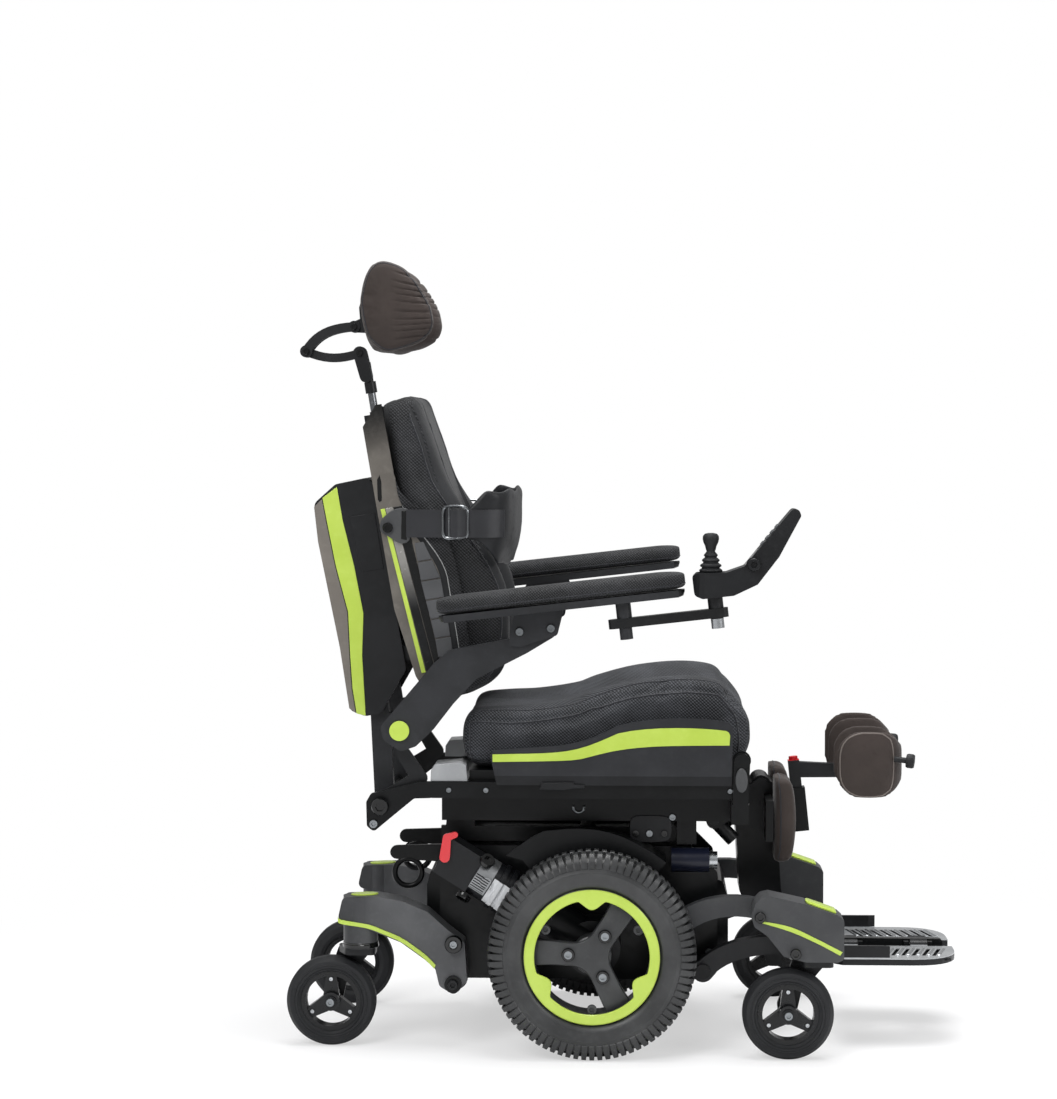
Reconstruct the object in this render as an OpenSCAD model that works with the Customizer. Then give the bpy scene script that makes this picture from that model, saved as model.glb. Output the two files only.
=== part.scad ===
/* [Drive wheels] */
// Outside diameter of a drive tyre
drive_d = 356; // [330:2:370]
// Width of a drive tyre
drive_w = 76; // [60:1:80]
// Height of a drive tyre over its rim
tyre_wall = 61; // [52:1:72]
// Distance between the middle planes of the drive wheels
drive_track = 560; // [556:2:600]
// Place of the drive axle ahead of the chair's middle
axle_x = -52; // [-60:1:-44]
// Diameter of the drive shaft
drive_shaft_d = 24; // [18:1:30]
// Lugs round one shoulder of a drive tyre
tread_lugs = 80; // [40:4:96]

/* [Casters] */
// Outside diameter of a caster wheel
caster_d = 156; // [140:2:164]
// Width of a caster tyre
caster_w = 42; // [30:1:46]
// Distance of the wheel axle behind the swivel axis
caster_trail = 51; // [40:1:56]
// Diameter of a swivel stem
stem_d = 26; // [20:1:30]
// Diameter of a caster axle
caster_axle_d = 12; // [8:1:16]
// Place of the rear swivel axes
rear_stem_x = -457; // [-470:1:-450]
// Place of the front swivel axes
front_stem_x = 333; // [330:1:345]
// Distance between the rear swivel axes
rear_stem_track = 370; // [366:2:376]
// Distance between the front swivel axes
front_stem_track = 550; // [546:2:560]

/* [Chassis] */
// Width over the chassis side plates
chassis_w = 300; // [290:2:304]
// Thickness of a chassis plate
plate_t = 5; // [3:0.5:7]
// Height of the chassis floor
chassis_floor = 111; // [106:1:116]
// Height of the chassis deck
chassis_top = 345; // [335:1:347]
// Diameter of a suspension pivot pin
link_pin_d = 18; // [14:1:22]
// Width of the outer square mast
mast_w = 112; // [100:1:116]
// Wall of each mast tube
mast_wall = 4; // [3:0.5:5]
// Sliding gap between mast tubes
mast_gap = 0.5; // [0.3:0.1:1]

/* [Seat] */
// Width of the seat cushion
cushion_w = 424; // [400:2:428]
// Thickness of a seat side panel
panel_t = 5; // [3:0.5:6]
// Height of the seat rails
rail_h = 28; // [22:1:32]
// Diameter of an actuator rod
actuator_rod_d = 16; // [12:1:18]
// Outside diameter of an actuator tube
actuator_tube_d = 26; // [24:1:28]

/* [Back] */
// Lean of the back behind the upright
back_lean = 9.2; // [6:0.2:12]
// Width of the back cushion
back_w = 384; // [360:2:388]
// Width of the rear shroud
shroud_w = 330; // [310:2:340]
// Wall of the rear shroud
shroud_wall = 5; // [3:0.5:6]

/* [Arms] */
// Distance between the middles of the arm pads
arm_track = 568; // [564:1:574]
// Width of an arm pad
arm_pad_w = 66; // [56:1:68]
// Extra height of the left arm pad
left_arm_raise = 22; // [0:1:30]
// Slope of the arm pads
arm_slope = 6.4; // [6:0.2:7]

/* [Legs] */
// Half width of the footplates
foot_half = 162; // [140:1:168]
// Thickness of a footplate
foot_t = 12; // [8:1:14]
// Side of the square knee post
knee_post_w = 20; // [16:1:22]

/* [Hidden] */
$fn = 64;

// Clearances: a pin in its bore, a face beside a moving face, and an open linkage pivot
fit = 0.06;
side_gap = 0.4;
open_fit = 0.3;

// Base: points are [forward, up] in the side view, widths are measured from the middle plane
axle = [axle_x, drive_d / 2];
drive_y = drive_track / 2;
rim_r = drive_d / 2 - tyre_wall;
chassis_half = chassis_w / 2;
chassis_back = -321;
chassis_front = 165;
deck_front = 120;
mast_x = -70;
rear_y = rear_stem_track / 2;
front_y = front_stem_track / 2;
caster_r = caster_d / 2;
stem_r = stem_d / 2;
pin_r = link_pin_d / 2;
crown_gap = 3;
crown_t = 12;
crown_top = caster_d + crown_gap + crown_t;
boss_z = crown_top + side_gap;
stem_top = boss_z + 62;
fork_leg_t = 14;
fork_gap = 5;
rear_pivot = [-294, 112];
arm_in = chassis_half + 7;
arm_out = 2 * rear_y - arm_in;
front_upper_hinge = [78, 202];
front_lower_hinge = [138, 140];
front_link_reach = [155, 46];
front_upper_pin = front_upper_hinge + front_link_reach;
front_lower_pin = front_lower_hinge + front_link_reach;
link_in = chassis_half + 54;
link_out = link_in + 25;
housing_half = 35;
housing_in = front_y - housing_half;
motor_heading = 148.2;
motor_y = chassis_half + 46;
motor_r = 42;
motor_len = 240;
motor_cap = 66;
lever_pivot = axle + (motor_len + 60) * [cos(motor_heading), sin(motor_heading)];

// Lift, tilt and stand
stage_w = mast_w - 2 * mast_wall - 2 * mast_gap;
inner_mast_w = stage_w - 2 * mast_wall - 2 * mast_gap;
carriage_z = 350;
carriage_t = 8;
carriage_half = 128;
tilt_pivot = [-290, 415];
tilt_beam_in = 131;
tilt_beam_w = 40;
tilt_beam_z = 392;
tilt_beam_h = 40;
tilt_pin_r = 10;
actuator_eye_r = 13;
trunnion_r = 8;
trunnion_reach = 24;
lug_t = 8;
rod_bore_gap = 0.6;
tilt_actuator_y = 95;
tilt_rod_pin = [-56, 405];
tilt_tube_pin = turned(tilt_pivot, tilt_rod_pin, -20);
tilt_tube_back = 80;
stand_pivot = [204, 505];
stand_pin_r = 10;
stand_actuator_y = 90;
stand_tube_pin = [160, 385];
stand_rod_pin = turned(stand_pivot, stand_tube_pin, -52);
stand_tube_back = 50;
cross_bar_r = 8;
leg_hinge = [245, 440];
leg_pin_r = 9;
front_beam = [186, 216];
upright_in = 232;
upright_t = 12;

// Seat and back
rail_top = 466;
rail_in = 200;
rail_out = 230;
bracket_in = rail_out - 11;
pan_z = rail_top + 14;
pan_t = 4;
panel_in = rail_out + 4;
hip = [-418, 424];
hip_r = 11;
post_out = shroud_w / 2 - 15;
post_in = post_out - 25;
shell_half = 200;
shell_rear = 98;
shell_t = 6;
shell_low = 190;
shell_high = 682;
wing_in = 196;
wing_t = 8;
cushion_gap = 0.4;

// Arms, headrest and controls
arm_pivot = [-383, 557];
arm_t = 14;
arm_pin_r = 10;
arm_y = arm_track / 2;
arm_plane = max(rail_out + 13, arm_y - 41);
pad_plate_t = 12;
pad_back = [-318, 756];
pad_len = 430;
pad_h = 32;
head_slide_x = 80;
head_low = [-473, 1210];
head_elbow = [-569, 1213];
head_high = [-483, 1257];
head_pin_r = 6;
pad_front = pad_back[0] + pad_len;
swing_x = pad_front - 108.5;
swing_drop = 47.06;
swing_pin = [swing_x, pad_back[1] + (swing_x - pad_back[0]) * tan(arm_slope) - swing_drop];
swing_reach = 156;
swing_pin_r = 8;
box_half = 29;
stick_pivot = [pad_front + 36.5, swing_pin[1] + 75];
paddle_pivot = [pad_front + 108, swing_pin[1] + 101];

// Legs
foot_pivot_y = 20;
foot_pivot_z = 150;
foot_pin_r = 6;
foot_back = 369;
foot_front = 586;
knee_foot = [318, 354];
knee_lean = 6;
knee_bar = [415, 462];

// A point turned about a centre
function turned(c, p, a) = c + [cos(a) * (p[0] - c[0]) - sin(a) * (p[1] - c[1]),
                                sin(a) * (p[0] - c[0]) + cos(a) * (p[1] - c[1])];
// A point at a distance and heading from another
function at(c, r, a) = c + r * [cos(a), sin(a)];
function heading(p, q) = atan2(q[1] - p[1], q[0] - p[0]);
function arc(c, r, a0, a1, n = 8) = [for (i = [0:n]) at(c, r, a0 + (a1 - a0) * i / n)];
function bezier(a, b, c, d, n = 10) =
    [for (i = [0:n]) let (t = i / n, u = 1 - t)
    u * u * u * a + 3 * u * u * t * b + 3 * u * t * t * c + t * t * t * d];
// Outline of a link with round ends of radius r at p and s at q
function link(p, q, r, s, n = 8) =
    let (a = heading(p, q), b = acos((r - s) / norm(q - p)))
    concat(arc(p, r, a + b, a + 360 - b, n), arc(q, s, a - b, a + b, n));
// Unit normal of a path at one of its points
function normal(path, i) =
    let (a = path[max(i - 1, 0)], b = path[min(i + 1, len(path) - 1)], d = (b - a) / norm(b - a))
    [-d[1], d[0]];
// Outline of a bar along a path, its width going from w0 to w1
function bar_outline(path, w0, w1) =
    let (n = len(path) - 1)
    concat([for (i = [0:n]) path[i] + normal(path, i) * (w0 + (w1 - w0) * i / n) / 2],
           [for (i = [n:-1:0]) path[i] - normal(path, i) * (w0 + (w1 - w0) * i / n) / 2]);
// One corner of an outline, rounded
function corner(a, b, c, r, n) =
    let (u = (a - b) / norm(a - b), v = (c - b) / norm(c - b), h = acos(u * v) / 2,
         reach = min(r / tan(h), norm(a - b) * 0.45, norm(c - b) * 0.45), q = reach * tan(h),
         o = b + (u + v) / norm(u + v) * q / sin(h), from = heading(o, b + u * reach),
         turn = (heading(o, b + v * reach) - from + 540) % 360 - 180)
    [for (i = [0:n]) at(o, q, from + turn * i / n)];
function rounded(p, r, n = 4) =
    [for (i = [0:len(p) - 1], q = corner(p[(i + len(p) - 1) % len(p)], p[i], p[(i + 1) % len(p)], r, n)) q];
// Ring of points on a rounded square of half size 1
function pillow(n, square) =
    [for (i = [0:n - 1]) let (c = cos(360 * i / n), s = sin(360 * i / n))
        [sign(c) * pow(abs(c), square), sign(s) * pow(abs(s), square)]];
function smooth(t) = let (u = max(0, min(1, t))) u * u * (3 - 2 * u);
function mix(a, b, t) = a + (b - a) * t;

// Extrude a side-view outline between two widths
module across(y0, y1) translate([0, y1, 0]) rotate([90, 0, 0]) linear_extrude(height = y1 - y0) children();
// Extrude a front-view outline [side, up] from one place to another along the chair
module facing(x0, x1) translate([x0, 0, 0]) rotate([90, 0, 90]) linear_extrude(height = x1 - x0) children();
// Round bar across the chair
module rod(p, r, y0, y1) translate([p[0], y0, p[1]]) rotate([-90, 0, 0]) cylinder(r = r, h = y1 - y0);
// Round bar in the side view, starting along a heading
module shaft(p, a, r, y, l0, l1) translate([p[0], y, p[1]]) rotate([0, 90 - a, 0]) translate([0, 0, l0])
    cylinder(r = r, h = l1 - l0);
module box(x0, x1, y0, y1, z0, z1) translate([x0, y0, z0]) cube([x1 - x0, y1 - y0, z1 - z0]);
module pair() {
    children();
    mirror([0, 1, 0]) children();
}
module on_left() mirror([0, 1, 0]) children();
module on_back() translate([hip[0], 0, hip[1]]) rotate([0, -back_lean, 0]) children();
// Wheel parts are drawn round +Z, which points outwards on the right side
module wheel(p, y) translate([p[0], -y, p[1]]) rotate([90, 0, 0]) children();
// Closed solid through rings of points
module loft(rings) {
    m = len(rings[0]);
    n = len(rings);
    polyhedron(
        points = [for (r = rings, p = r) p],
        faces = concat(
            [for (j = [1:m - 2]) [0, j, j + 1]],
            [for (j = [1:m - 2]) [(n - 1) * m, (n - 1) * m + j + 1, (n - 1) * m + j]],
            [for (i = [0:n - 2], j = [0:m - 1]) [i * m + j, (i + 1) * m + j, (i + 1) * m + (j + 1) % m]],
            [for (i = [0:n - 2], j = [0:m - 1]) [i * m + j, (i + 1) * m + (j + 1) % m,
            i * m + (j + 1) % m]]));
}

// Welded chassis with floor, deck, outer mast, suspension pins and rear tie-downs
module chassis_frame() {
    tie_bolt = [-400, 326];
    mast_hole = mast_w - 2 * mast_wall;
    slot_x = [mast_x - 62, mast_x + 62];
    color("#202124") difference() {
        union() {
            pair() across(-chassis_half, plate_t - chassis_half) union() {
                polygon(rounded([[chassis_back, chassis_floor], [chassis_front - 12, chassis_floor],
                    [chassis_front, chassis_floor + 14], [chassis_front, chassis_top - 45],
                    [deck_front, chassis_top],
                    [chassis_back + 18, chassis_top], [chassis_back, chassis_top - 18]], 9));
                polygon(arc(rear_pivot, 22, 0, 345, 23));
            }
            box(chassis_back + 1, chassis_front - 13, 1 - chassis_half, chassis_half - 1, chassis_floor,
                chassis_floor + plate_t);
            box(chassis_back + 17, deck_front, 1 - chassis_half, chassis_half - 1, chassis_top - plate_t,
                chassis_top);
            box(chassis_back, chassis_back + plate_t, 1 - chassis_half, chassis_half - 1,
                chassis_floor + 8, chassis_top - 26);
            box(chassis_front - plate_t, chassis_front, 1 - chassis_half, chassis_half - 1,
                chassis_floor + 16, chassis_top - 48);
            box(mast_x - mast_w / 2, mast_x + mast_w / 2, -mast_w / 2, mast_w / 2, chassis_floor,
                chassis_top);
            pair() {
                rod(rear_pivot, pin_r, -arm_out - side_gap, 2 - chassis_half);
                rod(rear_pivot, pin_r + 6, -arm_out - side_gap - 6, -arm_out - side_gap);
                rod(rear_pivot, pin_r + 8, -arm_in + side_gap, 2 - chassis_half);
                for (p = [front_upper_hinge, front_lower_hinge]) {
                    rod(p, pin_r + 7, -link_in + side_gap, 2 - chassis_half);
                    rod(p, pin_r, -link_out - side_gap - 5, 2 - chassis_half);
                    rod(p, pin_r + 4, -link_out - side_gap - 5, -link_out - side_gap);
                }
                across(-108, -100) polygon(link([chassis_back + 12, chassis_top - 20], tie_bolt, 16, 12));
                translate([tie_bolt[0] + 20, -104, tie_bolt[1] - 36]) rotate([90, 0, 0]) rotate_extrude()
                    translate([24, 0]) circle(r = 5);
            }
        }
        box(mast_x - mast_hole / 2, mast_x + mast_hole / 2, -mast_hole / 2, mast_hole / 2,
            chassis_floor + plate_t, chassis_top + 1);
        pair() box(slot_x[0], slot_x[1], -122, -68, chassis_top - plate_t - 1, chassis_top + 1);
    }
}

// Mudguards over the drive wheels and the end covers of the chassis
module base_shroud() {
    guard_r = drive_d / 2 + 19;
    guard_t = 4;
    guard_lip = 24;
    guard_out = drive_y - drive_w / 2 - 5;
    color("#151517") {
        pair() {
            across(-guard_out, -chassis_half)
                polygon(concat(arc(axle, guard_r, 50, 128, 16), arc(axle, guard_r - guard_t, 128, 50, 16)));
            across(-guard_out, guard_t - guard_out)
                polygon(concat(arc(axle, guard_r - 1, 50, 128, 16),
                arc(axle, guard_r - guard_lip, 128, 50, 16)));
            across(-guard_out, guard_t - guard_out) polygon(concat(
                bezier(axle + [126, 144], axle + [62, 210], axle + [-8, 214], axle + [-68, 206], 8),
                bezier(axle + [-84, 204], axle + [-104, 198], axle + [-133, 174], axle + [-149, 162], 4),
                arc(axle, guard_r - 2, 128, 50, 16)));
        }
        across(-116, 116) polygon(rounded([[chassis_back, 150], [chassis_back, 300],
            [chassis_back - 18, 296],
            [chassis_back - 25, 270], [chassis_back - 25, 185], [chassis_back - 18, 154]], 8));
        across(-112, 112) polygon(rounded([[chassis_front, 138], [chassis_front + 14, 144],
            [chassis_front + 20, 170],
            [chassis_front + 20, 250], [chassis_front + 10, 278], [chassis_front, 282]], 8));
    }
}

// Two batteries, ahead of the mast and behind it
module batteries() {
    battery_half = 118;
    battery_top = 298;
    base = chassis_floor + plate_t;
    color("#3a3f44") for (x = [[chassis_back + 9, mast_x - mast_w / 2 - 14],
        [mast_x + mast_w / 2 + 14, chassis_front - 9]]) {
        box(x[0], x[1], -battery_half, battery_half, base, battery_top);
        pair() translate([(x[0] + x[1]) / 2, 80, battery_top]) cylinder(r = 9, h = 16);
    }
}

// Drive gearmotors on both sides and the lift motor on the right side plate
module motors() {
    gear_r = 48;
    fin_pitch = 16;
    lift_motor_z = 325;
    color("#5d6064") pair() difference() {
        union() {
            rod(axle, gear_r, -motor_y - 30, -chassis_half);
            rod(axle, drive_shaft_d / 2, -drive_y + 8, -motor_y - 29);
            shaft(axle, motor_heading, motor_r - 4, -motor_y, 20, motor_len);
            for (i = [0:5]) shaft(axle, motor_heading, motor_r, -motor_y, 110 + fin_pitch * i,
                118 + fin_pitch * i);
            translate([axle[0], -motor_y, axle[1]]) rotate([0, 90 - motor_heading, 0])
                translate([-motor_cap / 2, -motor_cap / 2, motor_len - 1])
                cube([motor_cap, motor_cap, motor_cap]);
            for (l = [94, 216]) rod(at(axle, l, motor_heading), 10, -motor_y - motor_r - 1, -motor_y);
        }
        rod(lever_pivot, 5 + fit, -motor_y - motor_cap / 2 - 1, -motor_y - motor_cap / 2 + 14);
    }
    color("#27314f") {
        translate([84, -chassis_half - 24, lift_motor_z]) rotate([0, 90, 0]) cylinder(r = 21, h = 66);
        translate([150, -chassis_half - 24, lift_motor_z]) rotate([0, 90, 0]) cylinder(r = 15, h = 14);
        box(90, 140, -chassis_half - 12, -chassis_half, lift_motor_z - 14, lift_motor_z + 14);
    }
}

// Freewheel lever on the end cap of a drive motor
module freewheel_lever() {
    lever_y = motor_y + motor_cap / 2 + side_gap;
    tip = lever_pivot + [4, 34];
    color("#c8202c") {
        rod(lever_pivot, 5, -lever_y, -motor_y - motor_cap / 2 + 13);
        across(-lever_y - 7, -lever_y) union() {
            polygon(link(lever_pivot, tip, 9, 7));
            polygon(link(tip, tip + [14, 5], 6.5, 5));
        }
    }
}

// Tyre with a ring of lugs on each shoulder
module drive_tyre() {
    r = drive_d / 2;
    half = drive_w / 2;
    lug_h = 8;
    lug_w = 30;
    pitch = 360 / tread_lugs;
    color("#232325") wheel(axle, drive_y) union() {
        rotate_extrude() polygon(rounded([[rim_r, -half + 8], [rim_r + 12, -half], [r - 22, -half],
            [r - lug_h, -half + 10],
            [r - lug_h, half - 10], [r - 22, half], [rim_r + 12, half], [rim_r, half - 8]], 4));
        for (s = [0, 1]) translate([0, 0, s == 0 ? 4 : -4 - lug_w]) linear_extrude(height = lug_w)
            difference() {
            polygon([for (i = [0:tread_lugs - 1],
                q = [[r, -0.3], [r, 0.3], [r - lug_h + 1, 0.37], [r - lug_h + 1, 0.63]])
                at([0, 0], q[0], (i + q[1] + s / 2) * pitch)]);
            circle(r = r - 24);
        }
    }
}

// Split rim: barrel, trim ring with three lobes, three-armed spider and hub
module drive_rim() {
    barrel_t = 18;
    half = drive_w / 2 - 8;
    arm_z = [4, 18];
    color("#2b2c2f") wheel(axle, drive_y) difference() {
        union() {
            rotate_extrude() polygon([[rim_r - barrel_t, -half], [rim_r, -half], [rim_r, half],
                [rim_r - 5, half + 4],
                [rim_r - barrel_t, half + 1]]);
            for (a = [90, 210, 330]) translate([(rim_r - barrel_t - 1) * cos(a),
                (rim_r - barrel_t - 1) * sin(a), half - 14])
                cylinder(r = 15, h = 14);
            for (a = [57, 177, 297]) {
                translate([0, 0, arm_z[0]]) linear_extrude(height = arm_z[1] - arm_z[0])
                    polygon(link([0, 0], at([0, 0], rim_r - barrel_t + 2, a), 24, 13));
                translate([40 * cos(a), 40 * sin(a), arm_z[1] - 1]) cylinder(r = 6.5, h = 6);
            }
            translate([0, 0, -26]) cylinder(r = 33, h = 46);
        }
        translate([0, 0, -27]) cylinder(r = drive_shaft_d / 2 + fit, h = 42);
    }
}

// Rear swing arm with its swivel boss
module rear_arm() {
    boss_r = 30;
    top = 262;
    color("#4a4c4f") difference() {
        union() {
            across(-arm_out, -arm_in) polygon(rounded([[rear_stem_x - 38, 222], [rear_stem_x - 29, top],
                [rear_stem_x + 30, top + 2],
                [rear_stem_x + 74, 256], [rear_stem_x + 118, 238], rear_pivot + [-8, 93],
                rear_pivot + [20, 72],
                rear_pivot + [24, 4], rear_pivot + [2, -20], rear_pivot + [-24, -4], rear_pivot + [-31, 26],
                rear_pivot + [-49, 42], [rear_stem_x + 72, 184], [rear_stem_x + 14, 207]], 10));
            translate([rear_stem_x, -rear_y, boss_z]) cylinder(r = boss_r, h = top - boss_z);
        }
        translate([rear_stem_x, -rear_y, boss_z - 1]) cylinder(r = stem_r + fit, h = stem_top - boss_z + 2);
        rod(rear_pivot, pin_r + fit, -arm_out - 1, 1 - arm_in);
    }
}

// One-sided fork, drawn with its swivel axis on the Z axis and its leg towards +Y
module fork() {
    hub = [-caster_trail, caster_r];
    leg_in = caster_w / 2 + fork_gap;
    color("#2c2d30") union() {
        translate([0, 0, crown_top - 1]) cylinder(r = stem_r, h = stem_top - crown_top);
        translate([0, 0, crown_top - crown_t]) linear_extrude(height = crown_t)
            polygon(rounded([[26, -18], [26, leg_in + fork_leg_t], [-40, leg_in + fork_leg_t],
            [-40, leg_in - 4], [-24, -18]], 10));
        across(leg_in, leg_in + fork_leg_t)
            polygon(rounded([[26, crown_top], [-40, crown_top], hub + [-17, 10], hub + [-14, -14],
            hub + [14, -14], hub + [24, 30]], 10));
        rod(hub, caster_axle_d / 2, -leg_in + 1, leg_in + 1);
        rod(hub, caster_axle_d / 2 + 4, -leg_in, -caster_w / 2 - side_gap);
    }
}
module rear_fork() translate([rear_stem_x, -rear_y, 0]) fork();
module front_fork() translate([front_stem_x, -front_y, 0]) fork();

// Caster wheel with a soft tyre and three spokes
module caster_wheel() {
    half = caster_w / 2;
    tyre_in = caster_r - 26;
    color("#29292b") difference() {
        union() {
            rotate_extrude() polygon(rounded([[tyre_in, -half + 3], [tyre_in + 8, -half],
                [caster_r - 7, -half + 2], [caster_r, -half + 12],
                [caster_r, half - 12], [caster_r - 7, half - 2], [tyre_in + 8, half],
                [tyre_in, half - 3]], 4));
            rotate_extrude() polygon([[tyre_in - 8, -half + 6], [tyre_in + 1, -half + 6],
                [tyre_in + 1, half - 6], [tyre_in - 8, half - 6]]);
            for (a = [90, 210, 330]) translate([0, 0, -8]) linear_extrude(height = 18)
                polygon(link([0, 0], at([0, 0], tyre_in - 6, a), 15, 9));
            translate([0, 0, -half]) cylinder(r = 16, h = caster_w);
        }
        translate([0, 0, -half - 1]) cylinder(r = caster_axle_d / 2 + fit, h = caster_w + 2);
    }
}
module rear_caster() wheel([rear_stem_x - caster_trail, caster_r], rear_y) caster_wheel();
module front_caster() wheel([front_stem_x - caster_trail, caster_r], front_y) caster_wheel();

// Arched upper and hooked lower links of the front suspension
module front_upper_link() {
    path = bezier(front_upper_hinge, front_upper_hinge + [40, 44], front_upper_pin + [-60, 14],
        front_upper_pin);
    color("#3f4144") difference() {
        across(-link_out, -link_in) union() {
            polygon(bar_outline(path, 38, 34));
            polygon(arc(front_upper_hinge, 20, 0, 345, 23));
            polygon(arc(front_upper_pin, 18, 0, 345, 23));
        }
        rod(front_upper_hinge, pin_r + fit, -link_out - 1, 1 - link_in);
        rod(front_upper_pin, pin_r + fit, -link_out - 1, 1 - link_in);
    }
}
module front_lower_link() {
    path = bezier(front_lower_hinge, front_lower_hinge + [30, 34], front_lower_pin + [-70, 4],
        front_lower_pin);
    color("#3f4144") difference() {
        across(-link_out, -link_in) union() {
            polygon(bar_outline(path, 34, 30));
            polygon(arc(front_lower_hinge, 19, 0, 345, 23));
            polygon(arc(front_lower_pin, 17, 0, 345, 23));
        }
        rod(front_lower_hinge, pin_r + fit, -link_out - 1, 1 - link_in);
        rod(front_lower_pin, pin_r + open_fit, -link_out - 1, 1 - link_in);
    }
}

// Housing of a front caster's swivel, hung on the two links
module front_housing() {
    color("#4a4c4f") difference() {
        union() {
            across(-front_y - housing_half, -housing_in)
                polygon(rounded([front_upper_pin + [2, 33], front_upper_pin + [15, 36],
                [front_stem_x - 25, 271], [front_stem_x + 33, 251], [front_stem_x + 42, 243],
                [front_stem_x + 42, boss_z + 5],
                [front_stem_x + 32, boss_z], [front_stem_x - 23, boss_z], front_lower_pin + [-20, -5],
                front_upper_pin + [12, -32],
                front_upper_pin + [-10, -17], front_upper_pin + [-15, 1], front_upper_pin + [-8, 23]], 7));
            for (p = [front_upper_pin, front_lower_pin]) {
                rod(p, pin_r, -housing_in - 2, -link_in + side_gap + 5);
                rod(p, pin_r + 5, -housing_in - 2, -link_out - side_gap);
                rod(p, pin_r + 4, -link_in + side_gap, -link_in + side_gap + 5);
                rod(p, 8, -front_y - housing_half - 4, -front_y - housing_half + 2);
            }
        }
        translate([front_stem_x, -front_y, boss_z - 1])
            cylinder(r = stem_r + fit, h = stem_top - boss_z + 2);
    }
}

// Middle tube of the telescopic mast
module lift_stage() {
    color("#8d9196") difference() {
        box(mast_x - stage_w / 2, mast_x + stage_w / 2, -stage_w / 2, stage_w / 2,
            chassis_floor + plate_t + 2, chassis_top + 1);
        box(mast_x - stage_w / 2 + mast_wall, mast_x + stage_w / 2 - mast_wall, mast_wall - stage_w / 2,
            stage_w / 2 - mast_wall,
            chassis_floor, chassis_top + 2);
    }
}

// Carriage on the inner mast, with the rear tilt ears, the front rests and the lugs of the tilt actuators
module lift_carriage() {
    plate_top = carriage_z + carriage_t;
    rear_end = tilt_pivot[0] - 30;
    rest_x = [94, 128];
    slot_x = [tilt_tube_pin[0] - 26, tilt_tube_pin[0] + 36];
    color("#2a2b2e") difference() {
        union() {
            box(rear_end, rest_x[1], -carriage_half, carriage_half, carriage_z, plate_top);
            box(mast_x - inner_mast_w / 2, mast_x + inner_mast_w / 2, -inner_mast_w / 2, inner_mast_w / 2,
                chassis_floor + plate_t + 6, carriage_z + 1);
            pair() {
                box(rear_end, rest_x[1], -carriage_half, 16 - carriage_half, plate_top - 1,
                    tilt_beam_z - 16);
                box(rest_x[0], rest_x[1], -tilt_beam_in - 28, 16 - carriage_half, carriage_z,
                    tilt_beam_z - side_gap);
                across(-carriage_half, 14 - carriage_half)
                    polygon(link([tilt_pivot[0] + 4, plate_top + 16], tilt_pivot, 26, 17));
                rod(tilt_pivot, tilt_pin_r, -tilt_beam_in - 22, 2 - carriage_half);
                for (s = [-1, 1]) translate([0, s * (trunnion_reach - lug_t / 2) - tilt_actuator_y, 0])
                    difference() {
                    across(-lug_t / 2, lug_t / 2) polygon(link(tilt_tube_pin,
                        [tilt_tube_pin[0], carriage_z - 6], 15, 15));
                    rod(tilt_tube_pin, trunnion_r + fit, -lug_t, lug_t);
                }
            }
        }
        pair() box(slot_x[0], slot_x[1], trunnion_reach - lug_t - tilt_actuator_y - 32,
            -tilt_actuator_y + trunnion_reach - lug_t,
            carriage_z - 1, plate_top + 1);
        box(mast_x - inner_mast_w / 2 + mast_wall, mast_x + inner_mast_w / 2 - mast_wall,
            mast_wall - inner_mast_w / 2, inner_mast_w / 2 - mast_wall, chassis_floor, carriage_z);
    }
}

// Tube of an actuator with its trunnion, and the matching rod with its eye
module actuator_tube(foot, head, y, back) {
    a = heading(foot, head);
    mouth = norm(head - foot) - actuator_eye_r - 5;
    difference() {
        union() {
            shaft(foot, a, actuator_tube_d / 2, -y, -back, mouth);
            rod(foot, trunnion_r, -y - trunnion_reach, trunnion_reach - y);
            rod(foot, trunnion_r + 4, -y - trunnion_reach + lug_t + side_gap,
                trunnion_reach - lug_t - side_gap - y);
        }
        shaft(foot, a, actuator_rod_d / 2 + rod_bore_gap, -y, 4 - back, mouth + 1);
    }
}
module actuator_rod(foot, head, y, back) {
    a = heading(foot, head);
    difference() {
        union() {
            shaft(foot, a, actuator_rod_d / 2, -y, 6 - back, norm(head - foot) - 2);
            rod(head, actuator_eye_r, -y - 10, 10 - y);
        }
        rod(head, cross_bar_r + fit, -y - 11, 11 - y);
    }
}
module tilt_actuator_tubes() color("#2f3236") pair()
    actuator_tube(tilt_tube_pin, tilt_rod_pin, tilt_actuator_y, tilt_tube_back);
module tilt_actuator_rods() color("#c9ccd0") pair()
    actuator_rod(tilt_tube_pin, tilt_rod_pin, tilt_actuator_y, tilt_tube_back);
module stand_actuator_tubes() color("#2f3236") pair()
    actuator_tube(stand_tube_pin, stand_rod_pin, stand_actuator_y, stand_tube_back);
module stand_actuator_rods() color("#c9ccd0") pair()
    actuator_rod(stand_tube_pin, stand_rod_pin, stand_actuator_y, stand_tube_back);

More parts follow.
